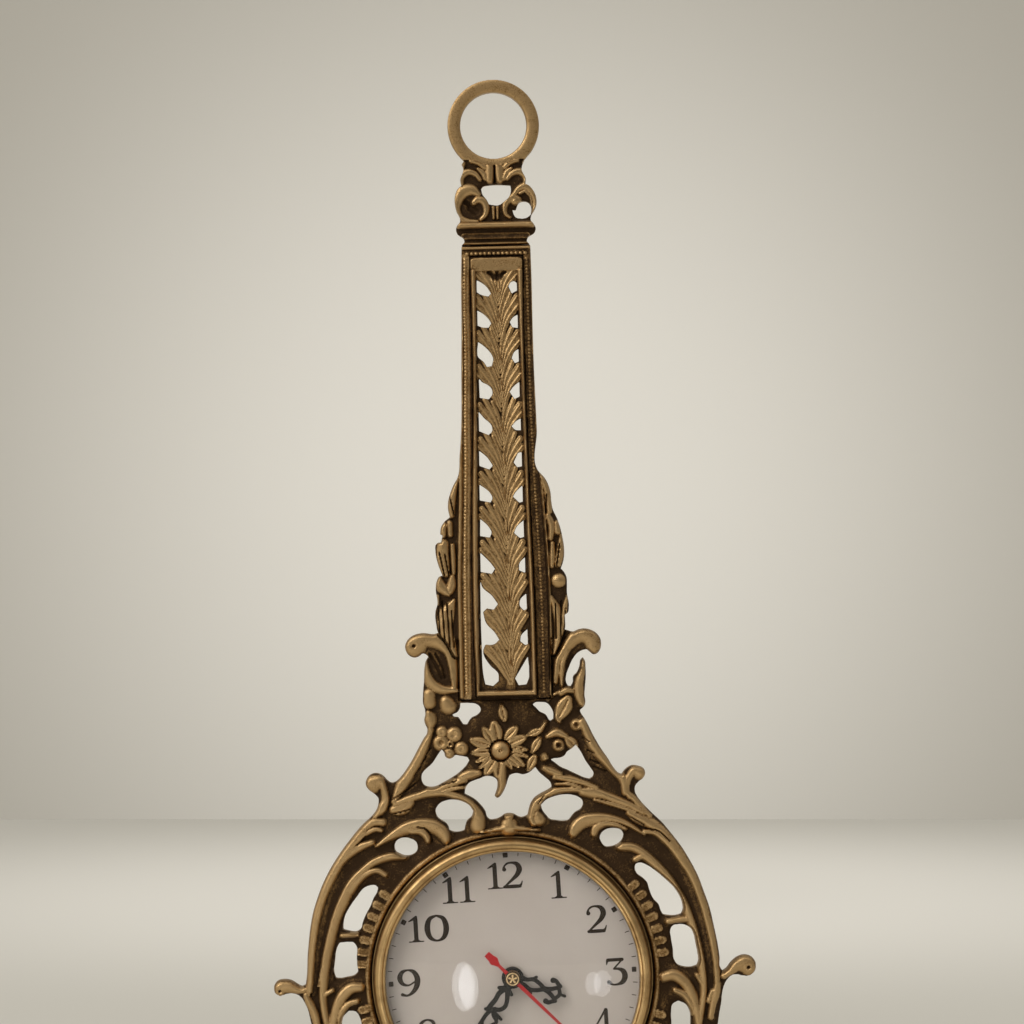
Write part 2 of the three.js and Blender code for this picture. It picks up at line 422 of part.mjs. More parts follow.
// Places that the tables scale to
const frame_scale = dial_radius / dial_radius_shares;
const tower_x_scale = tower_half_width / half_width_shares;
const tower_foot_y = foot_share * frame_scale;
const tower_top_y = tower_foot_y + tower_height;
const frame_point = ([x, y]) => [x * frame_scale, y * frame_scale];
const tower_point = ([x, y]) => [
  x * tower_x_scale,
  tower_foot_y + ((y - foot_share) * tower_height) / (top_share - foot_share),
];
const crest_point = ([x, y]) => [
  x * tower_x_scale,
  tower_top_y + ((y - top_share) * crest_height) / (ring_foot_share - top_share),
];

// Radii about the dial's axis
const lens_radius = dial_radius + lip_width;
const bezel_bore = lens_radius + seat_gap;
const skirt_radius = bezel_bore + skirt_wall;
const opening_radius = skirt_radius + seat_gap;
const bezel_radius = dial_radius + bezel_width;
const minute_hand_length = dial_radius - minute_hand_clearance;
const second_hand_length = dial_radius - second_hand_clearance;
const drum_radius = opening_radius + opening_step;
const flange_radius = drum_radius + front_flange_width;

// Depths of the dial's pieces, front to back
const front_seat_z = plate_thickness + seat_gap;
const card_front_z = front_seat_z + card_rise;
const card_back_z = card_front_z - card_thickness;
const dial_plate_front_z = card_back_z - seat_gap;
const dial_plate_back_z = dial_plate_front_z - dial_plate_thickness;
const crimp_front_z = dial_plate_back_z - seat_gap;
const crimp_back_z = crimp_front_z - crimp_thickness;
const lens_back_z = card_front_z + seat_gap;
const rubber_front_z = dial_plate_back_z - seat_gap;
const rubber_back_z = rubber_front_z - rubber_washer_thickness;
const case_front_z = rubber_back_z - seat_gap;
const case_inner_z = case_front_z - case_wall;
const nut_washer_back_z = card_front_z + seat_gap;
const nut_back_z = nut_washer_back_z + metal_washer_thickness + seat_gap;
const nut_front_z = nut_back_z + nut_thickness;
const bush_front_z = nut_front_z + bush_above_nut;

// Depths of the works, front to back
const layer_pitch = wheel_thickness + layer_gap;
const layer_front = (index) => case_inner_z - layer_gap - index * layer_pitch;
const hour_layer_z = layer_front(0);
const minute_layer_z = layer_front(1);
const bearing_plate_z = layer_front(2);
const centre_layer_z = layer_front(3);
const third_layer_z = layer_front(4);
const second_layer_z = layer_front(5);
const intermediate_layer_z = layer_front(6);
const magnet_z = layer_front(7);
const case_split_z = case_front_z - case_front_depth;
const case_back_z = case_front_z - case_depth;
const back_inner_z = case_back_z + case_wall;
const stator_front_z = magnet_z - (magnet_thickness - stator_thickness) / 2;
const stator_back_z = stator_front_z - stator_thickness;

// Radii of the nested pipes
const cannon_bore = second_arbor_radius + running_gap;
const cannon_radius = cannon_bore + pipe_wall;
const pipe_bore = cannon_radius + running_gap;
const pipe_radius = pipe_bore + hour_pipe_wall;
const bush_bore = pipe_radius + running_gap;
const bush_radius = bush_bore + bush_wall;
const bush_flange_radius = bush_radius + bush_flange_width;

// Depths of the hands
const hour_hub_z = bush_front_z + hub_gap;
const minute_hub_z = hour_hub_z + hub_thickness + hub_gap;
const minute_nut_z = minute_hub_z + hub_thickness + seat_gap;
const second_hand_z = minute_nut_z + hub_thickness + hub_gap;
const cap_z = second_hand_z + hand_thickness + seat_gap;

// Depths of the lens over the hands, and of the bezel's lip over the lens
const lens_edge_z = second_hand_z + hand_thickness + lens_over_hands;
const lip_back_z = lens_edge_z + seat_gap;
const bezel_front_z = lip_back_z + lip_thickness;
const bezel_height = bezel_front_z - front_seat_z;

// Places of the works about the dial's axis
const polar = (radius, degrees, from = [0, 0]) => {
  const angle = THREE.MathUtils.degToRad(degrees);
  return [from[0] + radius * Math.cos(angle), from[1] + radius * Math.sin(angle)];
};
const minute_wheel_bearing = 150;
const knob_bearing = 100;
const third_bearing = 20;
const intermediate_bearing = 95;
const rotor_bearing = 60;
const minute_wheel_at = polar(motion_centres, minute_wheel_bearing);
const knob_at = polar(motion_centres, knob_bearing, minute_wheel_at);
const third_at = polar(third_centres, third_bearing);
const intermediate_at = polar(intermediate_centres, intermediate_bearing);
const rotor_at = polar(rotor_centres, rotor_bearing, intermediate_at);

// A geometry as a closed solid that can be cut and joined
function solid(geometry) {
  const bare = geometry.clone();
  bare.deleteAttribute('normal');
  bare.deleteAttribute('uv');
  const merged = mergeVertices(bare);
  const corners = [];
  const index = merged.index.array;
  for (let i = 0; i < index.length; i += 3) {
    const [a, b, c] = [index[i], index[i + 1], index[i + 2]];
    if (a !== b && b !== c && c !== a) corners.push(a, b, c);
  }
  return new wasm.Manifold(new wasm.Mesh({
    numProp: 3,
    vertProperties: new Float32Array(merged.attributes.position.array),
    triVerts: new Uint32Array(corners),
  }));
}

// A flat piece from z = back to z = front
function plate(outline, back, front, holes = []) {
  const shape = new THREE.Shape(outline.map(([x, y]) => new THREE.Vector2(x, y)));
  shape.holes = holes.map((hole) => new THREE.Path(hole.map(([x, y]) => new THREE.Vector2(x, y))));
  const geometry = new THREE.ExtrudeGeometry(shape, { depth: front - back, bevelEnabled: false });
  return solid(geometry.translate(0, 0, back));
}

// A round piece about z, from its profile of [radius, z] points
function turned(profile, [x, y] = [0, 0], sides = small_sides) {
  const area = profile.reduce((sum, [r, z], i) => {
    const [next_r, next_z] = profile[(i + 1) % profile.length];
    return sum + r * next_z - next_r * z;
  }, 0);
  const points = area > 0 ? [...profile] : [...profile].reverse();
  const start = points.findIndex(([r], i) => r === 0 && points.at(i - 1)[0] === 0);
  const ordered = start < 0 ? [...points, points[0]] : [...points.slice(start), ...points.slice(0, start)];
  const lathe = new THREE.LatheGeometry(ordered.map(([r, z]) => new THREE.Vector2(r, z)), sides);
  return solid(lathe.rotateX(Math.PI / 2).translate(x, y, 0));
}

const disc = (radius, back, front, at, sides) =>
  turned([[0, back], [radius, back], [radius, front], [0, front]], at, sides);
const tube = (bore, radius, back, front, at, sides) =>
  turned([[bore, back], [radius, back], [radius, front], [bore, front]], at, sides);
const joined = (bodies) => bodies.reduce((whole, body) => whole.add(body));
const cut = (body, cutters) => cutters.reduce((rest, cutter) => rest.subtract(cutter), body);
const rectangle = (left, low, right, high) => [[left, low], [right, low], [right, high], [left, high]];
const circle = (radius, [x, y] = [0, 0], sides = large_sides) =>
  Array.from({ length: sides }, (_, i) => {
    const angle = (i * 2 * Math.PI) / sides;
    return [x + radius * Math.cos(angle), y + radius * Math.sin(angle)];
  });

// A band of changing width along a line of [x, y, half width] points
function band(line, back, front) {
  const left = [];
  const right = [];
  line.forEach(([x, y, half], i) => {
    const [before, after] = [line[Math.max(i - 1, 0)], line[Math.min(i + 1, line.length - 1)]];
    const along = new THREE.Vector2(after[0] - before[0], after[1] - before[1]).normalize();
    left.push([x - along.y * half, y + along.x * half]);
    right.unshift([x + along.y * half, y - along.x * half]);
  });
  return plate([...right, ...left], back, front);
}

/* A toothed wheel. The phase is the angle of one tooth's tip. Two wheels mesh where a tip of one
   stands in a gap of the other on the line between their axes. */
function toothed(teeth, pitch_radius, phase, back, front, at) {
  const tooth_module = (2 * pitch_radius) / teeth;
  const tip = pitch_radius + addendum_share * tooth_module;
  const root = pitch_radius - dedendum_share * tooth_module;
  const outline = Array.from({ length: 2 * teeth }, (_, i) => {
    const angle = phase + (i * Math.PI) / teeth;
    const radius = i % 2 ? root : tip;
    return [at[0] + radius * Math.cos(angle), at[1] + radius * Math.sin(angle)];
  });
  return plate(outline, back, front);
}
function meshed_phase(driver_teeth, driver_phase, teeth, bearing_degrees) {
  const bearing = THREE.MathUtils.degToRad(bearing_degrees);
  const driver_turns = ((bearing - driver_phase) * driver_teeth) / (2 * Math.PI);
  return bearing + Math.PI - ((1 / 2 - driver_turns) * 2 * Math.PI) / teeth;
}

// A slotted screw driven in from behind, its head's front at z = seat
function screw(at, seat, tip) {
  const head_back = seat - screw_head_thickness;
  const body = turned([
    [0, head_back], [screw_head_radius, head_back], [screw_head_radius, seat],
    [screw_radius, seat], [screw_radius, tip], [0, tip],
  ], at);
  const reach = screw_head_radius + cut_overrun;
  const slot = plate(
    rectangle(at[0] - reach, at[1] - slot_width / 2, at[0] + reach, at[1] + slot_width / 2),
    head_back - cut_overrun, head_back + slot_depth,
  );
  return cut(body, [slot]);
}
const screw_hole = (at, back, front) => disc(screw_radius + seat_gap, back, front, at);

const clock = new THREE.Group();
function add(name, material, body) {
  const mesh = body.getMesh();
  const geometry = new THREE.BufferGeometry();
  geometry.setAttribute('position', new THREE.BufferAttribute(mesh.vertProperties, 3));
  geometry.setIndex(new THREE.BufferAttribute(mesh.triVerts, 1));
  geometry.computeVertexNormals();
  const node = new THREE.Mesh(geometry, material);
  node.name = name;
  clock.add(node);
}

// Places of the screws
const drum_screw_radius = drum_radius + front_flange_width / 2;
const drum_screws = [45, 135, 225, 315].map((degrees) => polar(drum_screw_radius, degrees));
const tower_screw_shares = [[-16.5, 140], [16.5, 140]];
const tower_screws = tower_screw_shares.map(tower_point);
const crest_screw_shares = [[-7, 311.9], [7, 311.9]];
const crest_screws = crest_screw_shares.map(tower_point);
const grille_top_screw_shares = [0, 306.6];
const grille_screws = [
  tower_point(grille_top_screw_shares),
  [0, tower_foot_y + foot_lip + screw_radius + seat_gap],
];
const boss_at = frame_point(boss_place_shares);

const prong_sides_shares = [12.8, 20.7];
function dial_frame() {
  const outline = [...frame_left_shares, ...[...frame_right_shares].reverse()].map(frame_point);
  const notch_y = tower_foot_y - cut_overrun;
  const [left, right] = [outline[0], outline.at(-1)];
  const notched = [...outline, [right[0], notch_y], [left[0], notch_y]];
  const holes = frame_holes_shares.map((hole) => hole.map(frame_point));
  const ground = plate(notched, 0, plate_thickness, [...holes, circle(opening_radius)]);
  const [inner, outer] = prong_sides_shares.map((x) => x * tower_x_scale);
  const prong_top = notch_y + prong_length;
  const prongs = [[-outer, -inner], [inner, outer]].map(([from, to]) =>
    plate(rectangle(from, notch_y - prong_foot_lap, to, prong_top), 0, plate_thickness));
  const ridge_bore = bezel_radius + ridge_clearance;
  const relief_top = plate_thickness + relief_rise;
  const ridge = tube(ridge_bore, ridge_bore + ridge_width, plate_thickness / 2, relief_top,
    [0, 0], large_sides);
  const bands = frame_bands_shares.map((line) =>
    band(line.map(([x, y, half]) => [...frame_point([x, y]), half * frame_scale]),
      plate_thickness / 2, relief_top));
  const screw_holes = drum_screws.map((at) => screw_hole(at, -cut_overrun, screw_bite + seat_gap));
  const through = tower_screws.map((at) => screw_hole(at, -cut_overrun, plate_thickness + cut_overrun));
  const rivet_hole = disc(screw_radius + seat_gap, -cut_overrun, plate_thickness + cut_overrun, boss_at);
  return cut(joined([ground, ...prongs, ridge, ...bands]), [...screw_holes, ...through, rivet_hole]);
}

function tower_casting() {
  const outline = [...tower_left_shares, ...[...tower_right_shares].reverse()].map(tower_point);
  const plate_front = front_seat_z + tower_plate_thickness;
  const step_front = plate_front + tower_step_thickness;
  const body = joined([
    plate(outline, front_seat_z, plate_front),
    plate(tower_step_shares.map(tower_point), front_seat_z + tower_plate_thickness / 2, step_front),
  ]);
  const pocket = grille_shares.map(tower_point)
    .map(([x, y]) => [x + Math.sign(x) * seat_gap, y + (y > tower_top_y / 2 ? seat_gap : -cut_overrun)]);
  const ledge_z = front_seat_z + ledge_thickness;
  const window = grille_inner_shares.map(tower_point);
  return cut(body, [
    plate(pocket, ledge_z, step_front + cut_overrun),
    plate(window, front_seat_z - cut_overrun, ledge_z + cut_overrun),
    ...[...tower_screws, ...crest_screws].map((at) =>
      screw_hole(at, front_seat_z - cut_overrun, front_seat_z + screw_bite + seat_gap)),
    ...grille_screws.map((at) => screw_hole(at, front_seat_z - cut_overrun, ledge_z + cut_overrun)),
  ]);
}

const grille_back_z = front_seat_z + ledge_thickness + seat_gap;
const grille_front_z = grille_back_z + grille_thickness;
function leaf_grille() {
  const outline = grille_shares.map(tower_point);
  const windows = grille_windows_shares.map((window) => window.map(tower_point));
  const sheet = plate(outline, grille_back_z, grille_front_z, windows);
  const border = plate(outline, grille_back_z + grille_thickness / 2, grille_front_z + grille_border_rise,
    [grille_inner_shares.map(tower_point)]);
  const holes = grille_screws.map((at) =>
    screw_hole(at, grille_back_z - cut_overrun, grille_back_z + screw_bite + seat_gap));
  return cut(joined([sheet, border]), holes);
}

const ring_seat_share = 0.7;
const ring_centre_y = tower_top_y + crest_height + ring_seat_share * ring_radius;
const ring_bore = ring_radius - ring_band;
const ring_back_z = crest_back + (crest_thickness - ring_thickness) / 2;
const ring_front_z = ring_back_z + ring_thickness;
function hanging_crest() {
  const front = crest_back + crest_thickness;
  const relief_top = front + crest_moulding_rise;
  const body = plate(crest_shares.map(crest_point), crest_back, front,
    crest_holes_shares.map((hole) => hole.map(crest_point)));
  const ring = turned([
    [ring_bore, ring_back_z + ring_chamfer], [ring_bore + ring_chamfer, ring_back_z],
    [ring_radius - ring_chamfer, ring_back_z], [ring_radius, ring_back_z + ring_chamfer],
    [ring_radius, ring_front_z - ring_chamfer], [ring_radius - ring_chamfer, ring_front_z],
    [ring_bore + ring_chamfer, ring_front_z], [ring_bore, ring_front_z - ring_chamfer],
  ], [0, ring_centre_y], large_sides);
  const ring_clear = disc(ring_bore, -cut_overrun, relief_top + cut_overrun, [0, ring_centre_y], large_sides);
  const cornice = plate(cornice_shares.map(crest_point), crest_back + crest_thickness / 2, relief_top);
  const bands = crest_bands_shares.map((line) =>
    band(line.map(([x, y, half]) => [...crest_point([x, y]), half * tower_x_scale]),
      crest_back + crest_thickness / 2, relief_top));
  const screw_y = crest_screws[0][1];
  const tongue_low = screw_y - screw_head_radius - seat_gap;
  const tongue = plate(
    rectangle(-tongue_half_width, tongue_low, tongue_half_width, tower_top_y + tongue_reach_up),
    0, tongue_thickness,
  );
  const shaped = cut(joined([body, cornice, ...bands]), [ring_clear]);
  return cut(joined([shaped, ring, tongue]),
    crest_screws.map((at) => screw_hole(at, -cut_overrun, tongue_thickness + cut_overrun)));
}

add('dial_frame', brass, dial_frame());
add('tower_casting', brass, tower_casting());
add('leaf_grille', brass, leaf_grille());
add('hanging_crest', brass, hanging_crest());

// The daisy in the middle of the frame's top and the rivet that holds it
const boss_back_z = plate_thickness + seat_gap;
const boss_front_z = boss_back_z + boss_height;
add('daisy_boss', brass, cut(
  turned([
    [0, boss_back_z], [boss_radius, boss_back_z], [boss_radius, boss_back_z + boss_height / 2],
    [boss_radius / 2, boss_front_z], [0, boss_front_z],
  ], boss_at, small_sides),
  [screw_hole(boss_at, boss_back_z - cut_overrun, boss_back_z + screw_bite + seat_gap)],
));
add('daisy_rivet', brass, screw(boss_at, -seat_gap, boss_back_z + screw_bite));

drum_screws.forEach((at, i) => {
  add(`drum_screw_${i + 1}`, plated_steel, screw(at, -2 * seat_gap - drum_wall, screw_bite));
});
tower_screws.forEach((at, i) => {
  add(`tower_screw_${i + 1}`, plated_steel, screw(at, -seat_gap, front_seat_z + screw_bite));
});
crest_screws.forEach((at, i) => {
  add(`crest_screw_${i + 1}`, plated_steel, screw(at, -seat_gap, front_seat_z + screw_bite));
});
['grille_screw_top', 'grille_screw_bottom'].forEach((name, i) => {
  add(name, plated_steel, screw(grille_screws[i], front_seat_z - seat_gap, grille_back_z + screw_bite));
});

// Bezel: front ring, lip over the lens and a skirt crimped behind the dial plate
const bezel_band_share = 0.62;
add('bezel', brass, turned([
  [skirt_radius, crimp_back_z], [skirt_radius, front_seat_z], [bezel_radius, front_seat_z],
  [bezel_radius, front_seat_z + bezel_height * bezel_band_share / 2],
  [bezel_radius - bezel_round, front_seat_z + bezel_height * bezel_band_share],
  [dial_radius + bezel_width * bezel_band_share, bezel_front_z],
  [dial_radius + lip_width, bezel_front_z],
  [dial_radius, lip_back_z + lip_thickness / 2], [dial_radius, lip_back_z],
  [bezel_bore, lip_back_z], [bezel_bore, crimp_front_z],
  [bezel_bore - crimp_width, crimp_front_z], [bezel_bore - crimp_width, crimp_back_z],
], [0, 0], large_sides));

// Lens: a straight rim, a flange under the bezel's lip and the dome
const dome_radius = dial_radius - dome_inset;
const dome_steps = 4;
const dome = (radius, low, rise) => Array.from({ length: dome_steps + 1 }, (_, i) => {
  const share = 1 - i / dome_steps;
  return [radius * share, low + rise * (1 - share * share)];
});
add('dome_lens', glass, turned([
  [lens_radius, lens_back_z], [lens_radius, lens_edge_z],
  ...dome(dome_radius, lens_edge_z, dome_rise),
  ...dome(dome_radius - lens_wall / 2, lens_edge_z - lens_wall, dome_rise).reverse(),
  [lens_radius - lens_wall, lens_edge_z - lens_wall], [lens_radius - lens_wall, lens_back_z],
], [0, 0], large_sides));

const bush_hole = bush_radius + seat_gap;
const dial_edge = lens_radius;
add('dial_card', card, tube(bush_hole, dial_edge, card_back_z, card_front_z, [0, 0], large_sides));
add('dial_plate', aluminium,
  tube(bush_hole, dial_edge, dial_plate_back_z, dial_plate_front_z, [0, 0], large_sides));

// Rear drum: a flange behind the frame, the wall and a rear flange that lies on the wall
const drum_front_z = -seat_gap;
const drum_back_z = drum_front_z - drum_depth;
const drum_bore = drum_radius - drum_wall;
add('rear_drum', brass, cut(turned([
  [flange_radius, drum_front_z], [flange_radius, drum_front_z - drum_wall],
  [drum_radius, drum_front_z - drum_wall], [drum_radius, drum_back_z],
  [drum_radius - rear_flange_width, drum_back_z], [drum_radius - rear_flange_width, drum_back_z + drum_wall],
  [drum_bore, drum_back_z + drum_wall], [drum_bore, drum_front_z],
], [0, 0], large_sides), drum_screws.map((at) =>
  screw_hole(at, drum_front_z - drum_wall - cut_overrun, drum_front_z + seat_gap + cut_overrun))));

// Movement case: a front tray with the cell's trough, and a back cover over the works
const contacts_length = 2 * contact_thickness + spring_length;
const cavity_half = (cell_length + cell_nub_length + contacts_length + 4 * seat_gap) / 2;
const half_case = cavity_half + case_wall;
const divider_low = divider_y - case_wall / 2;
const divider_high = divider_y + case_wall / 2;
const trough_low = divider_low - 2 * (cell_radius + seat_gap);
const case_low = trough_low - case_wall;
const stator_low = rotor_at[1] - magnet_radius - running_gap - stator_margin / 2;
const stator_high = rotor_at[1] + magnet_radius + running_gap + stator_margin / 2;
const coil_at_y = stator_high + coil_clearance + coil_radius;
const cavity_high = coil_at_y + coil_radius + 2 * seat_gap;
const case_high = cavity_high + case_wall;
const pin_hole = pin_radius + running_gap;
const knob_hole = knob_shaft_radius + running_gap;
const post_x = cavity_half - post_inset;
const post_places = [cavity_high - post_inset, divider_high + post_inset]
  .flatMap((y) => [[-post_x, y], [post_x, y]]);
const trough_back_z = case_front_z - trough_depth;
const bearing_plate_back_z = bearing_plate_z - wheel_thickness;
function movement_front_case() {
  const works_walls = plate(rectangle(-half_case, divider_low, half_case, case_high), case_split_z,
    case_front_z, [rectangle(-cavity_half, divider_high, cavity_half, cavity_high)]);
  const trough_walls = plate(rectangle(-half_case, case_low, half_case, divider_high), trough_back_z,
    case_front_z, [rectangle(-cavity_half, trough_low, cavity_half, divider_low)]);
  const front_wall = plate(rectangle(-half_case, case_low, half_case, case_high), case_inner_z, case_front_z);
  const posts = post_places.map((at) =>
    disc(post_radius, bearing_plate_z + seat_gap, case_inner_z + case_wall / 2, at));
  const flange_pocket = case_inner_z + bush_flange_thickness + seat_gap;
  return cut(joined([works_walls, trough_walls, front_wall, ...posts]), [
    disc(bush_hole, case_inner_z - cut_overrun, case_front_z + cut_overrun),
    disc(bush_flange_radius + seat_gap, case_inner_z - cut_overrun, flange_pocket),
    disc(pin_hole, case_inner_z - cut_overrun, case_inner_z + pivot_depth + running_gap, minute_wheel_at),
    disc(pin_hole, case_inner_z - cut_overrun, case_inner_z + pivot_depth + running_gap, knob_at),
  ]);
}
const cover_low = divider_high + seat_gap;
const cover_front_z = case_split_z - seat_gap;
const board_low = cover_low + case_wall + seat_gap;
const board_right = cavity_half - seat_gap;
const core_low = coil_at_y - core_width / 2;
const core_high = coil_at_y + core_width / 2;
const stator_left = rotor_at[0] - magnet_radius - running_gap - stator_margin;
const stator_right = stator_left + coil_length + 2 * (core_width + layer_gap) + stator_margin;
const stator_posts = [
  [stator_right - stator_margin, stator_low + stator_margin],
  [stator_left + stator_margin / 2, core_low],
];
function movement_back_case() {
  const outline = rectangle(-half_case, cover_low, half_case, case_high);
  const inner = rectangle(-cavity_half, cover_low + case_wall, cavity_half, cavity_high);
  const walls = plate(outline, case_back_z, cover_front_z, [inner]);
  const back_wall = plate(outline, case_back_z, back_inner_z);
  const posts = stator_posts.map((at) =>
    disc(post_radius / 2, back_inner_z - case_wall / 2, stator_back_z - seat_gap, at));
  const pivot_holes = [[0, 0], third_at, intermediate_at, rotor_at].map((at, i) =>
    disc(i ? pin_hole : second_arbor_radius + running_gap,
      back_inner_z - pivot_depth - running_gap, back_inner_z + cut_overrun, at));
  return cut(joined([walls, back_wall, ...posts]), [
    ...pivot_holes,
    disc(knob_hole, case_back_z - cut_overrun, back_inner_z + cut_overrun, knob_at),
  ]);
}
add('movement_front_case', black_plastic, movement_front_case());
add('movement_back_case', black_plastic, movement_back_case());
add('bearing_plate', white_plastic, cut(
  plate(rectangle(-cavity_half + seat_gap, cover_low, cavity_half - seat_gap, cavity_high - seat_gap),
    bearing_plate_back_z, bearing_plate_z),
  [
    disc(cannon_radius + running_gap, bearing_plate_back_z - cut_overrun, bearing_plate_z + cut_overrun),
    disc(knob_hole, bearing_plate_back_z - cut_overrun, bearing_plate_z + cut_overrun, knob_at),
    ...[minute_wheel_at, third_at, intermediate_at, rotor_at].map((at) =>
      disc(pin_hole, bearing_plate_back_z - cut_overrun, bearing_plate_z + cut_overrun, at)),
  ],
));

// Bush, washers and nut that hold the movement to the dial plate
add('threaded_bush', brass, turned([
  [bush_bore, case_inner_z], [bush_flange_radius, case_inner_z],
  [bush_flange_radius, case_inner_z + bush_flange_thickness],
  [bush_radius, case_inner_z + bush_flange_thickness], [bush_radius, bush_front_z],
  [bush_bore, bush_front_z],
]));
add('rubber_washer', rubber, tube(bush_hole, rubber_washer_radius, rubber_back_z, rubber_front_z));
add('mounting_washer', brass,
  tube(bush_hole, nut_radius, nut_washer_back_z, nut_washer_back_z + metal_washer_thickness));
add('mounting_nut', brass, tube(bush_hole, nut_radius, nut_back_z, nut_front_z));

// Motion works: tooth counts, and phases that follow the meshes
const cannon_teeth = 14;
const minute_wheel_teeth = 42;
const minute_pinion_teeth = 12;
const hour_wheel_teeth = 48;
const knob_teeth = 14;
const centre_wheel_teeth = 60;
const third_pinion_teeth = 8;
const third_wheel_teeth = 64;
const second_pinion_teeth = 8;
const second_wheel_teeth = 60;
const intermediate_pinion_teeth = 12;
const intermediate_wheel_teeth = 48;
const rotor_pinion_teeth = 8;
const pitch_radius = (teeth, mate_teeth, centres) => (centres * teeth) / (teeth + mate_teeth);
const pinion_overhang = layer_gap / 4;
const layer = (front) => [front - wheel_thickness, front];
const long_layer = (front) => [front - wheel_thickness - pinion_overhang, front + pinion_overhang];

const cannon_back_z = minute_layer_z - wheel_thickness - pinion_overhang;
const cannon_front_z = minute_nut_z + hub_thickness + pinion_overhang;
const arbor_back_z = back_inner_z - pivot_depth;
const plate_pivot_z = bearing_plate_z - layer_gap / 2;

function bored(body, bore, at = [0, 0]) {
  const reach = case_depth + drum_depth;
  return cut(body, [disc(bore, -reach, reach, at)]);
}
add('cannon_pinion', brass, bored(joined([
  toothed(cannon_teeth, pitch_radius(cannon_teeth, minute_wheel_teeth, motion_centres), 0,
    ...long_layer(minute_layer_z), [0, 0]),
  disc(cannon_radius, cannon_back_z, cannon_front_z),
]), cannon_bore));
add('hour_wheel', white_plastic, bored(joined([
  toothed(hour_wheel_teeth, pitch_radius(hour_wheel_teeth, minute_pinion_teeth, motion_centres), 0,
    ...layer(hour_layer_z), [0, 0]),
  disc(pipe_radius, hour_layer_z - wheel_thickness, hour_hub_z + hub_thickness - pinion_overhang),
]), pipe_bore));
const minute_wheel_phase = meshed_phase(cannon_teeth, 0, minute_wheel_teeth, minute_wheel_bearing);
add('minute_wheel', white_plastic, joined([
  toothed(minute_wheel_teeth, pitch_radius(minute_wheel_teeth, cannon_teeth, motion_centres),
    minute_wheel_phase, ...layer(minute_layer_z), minute_wheel_at),
  toothed(minute_pinion_teeth, pitch_radius(minute_pinion_teeth, hour_wheel_teeth, motion_centres),
    meshed_phase(hour_wheel_teeth, 0, minute_pinion_teeth, minute_wheel_bearing),
    hour_layer_z - wheel_thickness - layer_gap, hour_layer_z, minute_wheel_at),
  disc(pin_radius, bearing_plate_back_z + pivot_depth / 2, case_inner_z + pivot_depth, minute_wheel_at),
]));
const knob_back_z = case_back_z - seat_gap - knob_thickness;
add('setting_knob', white_plastic, joined([
  toothed(knob_teeth, pitch_radius(knob_teeth, minute_wheel_teeth, motion_centres),
    meshed_phase(minute_wheel_teeth, minute_wheel_phase, knob_teeth, knob_bearing),
    ...long_layer(minute_layer_z), knob_at),
  disc(knob_shaft_radius, case_back_z - seat_gap - knob_thickness / 2, minute_layer_z, knob_at),
  disc(pin_radius, minute_layer_z - wheel_thickness, case_inner_z + pivot_depth, knob_at),
  disc(knob_radius, knob_back_z, case_back_z - seat_gap, knob_at),
]));

// Going train, from the motor to the centre wheel that drives the cannon pinion by friction
const hub_front_z = cannon_back_z - seat_gap;
add('centre_wheel', brass, bored(joined([
  toothed(centre_wheel_teeth, pitch_radius(centre_wheel_teeth, third_pinion_teeth, third_centres), 0,
    ...layer(centre_layer_z), [0, 0]),
  disc(cannon_radius, centre_layer_z - wheel_thickness - pinion_overhang, hub_front_z),
]), cannon_bore));
add('third_wheel', white_plastic, joined([
  toothed(third_wheel_teeth, pitch_radius(third_wheel_teeth, second_pinion_teeth, third_centres),
    meshed_phase(second_pinion_teeth, 0, third_wheel_teeth, third_bearing),
    ...layer(third_layer_z), third_at),
  toothed(third_pinion_teeth, pitch_radius(third_pinion_teeth, centre_wheel_teeth, third_centres),
    meshed_phase(centre_wheel_teeth, 0, third_pinion_teeth, third_bearing),
    centre_layer_z - wheel_thickness - layer_gap, centre_layer_z + pinion_overhang, third_at),
  disc(pin_radius, arbor_back_z, plate_pivot_z, third_at),
]));
add('seconds_wheel', white_plastic, joined([
  toothed(second_wheel_teeth,
    pitch_radius(second_wheel_teeth, intermediate_pinion_teeth, intermediate_centres), 0,
    ...layer(second_layer_z), [0, 0]),
  toothed(second_pinion_teeth, pitch_radius(second_pinion_teeth, third_wheel_teeth, third_centres), 0,
    third_layer_z - wheel_thickness - layer_gap, third_layer_z + pinion_overhang, [0, 0]),
  disc(second_arbor_radius, arbor_back_z, second_hand_z + hand_thickness),
]));
const intermediate_phase = 0;
add('intermediate_wheel', white_plastic, joined([
  toothed(intermediate_wheel_teeth,
    pitch_radius(intermediate_wheel_teeth, rotor_pinion_teeth, rotor_centres),
    intermediate_phase, ...layer(intermediate_layer_z), intermediate_at),
  toothed(intermediate_pinion_teeth,
    pitch_radius(intermediate_pinion_teeth, second_wheel_teeth, intermediate_centres),
    meshed_phase(second_wheel_teeth, 0, intermediate_pinion_teeth, intermediate_bearing),
    second_layer_z - wheel_thickness - layer_gap, second_layer_z + pinion_overhang, intermediate_at),
  disc(pin_radius, arbor_back_z, plate_pivot_z, intermediate_at),
]));
add('motor_rotor', black_plastic, joined([
  toothed(rotor_pinion_teeth, pitch_radius(rotor_pinion_teeth, intermediate_wheel_teeth, rotor_centres),
    meshed_phase(intermediate_wheel_teeth, intermediate_phase, rotor_pinion_teeth, rotor_bearing),
    intermediate_layer_z - wheel_thickness - layer_gap, intermediate_layer_z + pinion_overhang, rotor_at),
  disc(magnet_radius, magnet_z - magnet_thickness, magnet_z, rotor_at),
  disc(pin_radius, arbor_back_z, plate_pivot_z, rotor_at),
]));

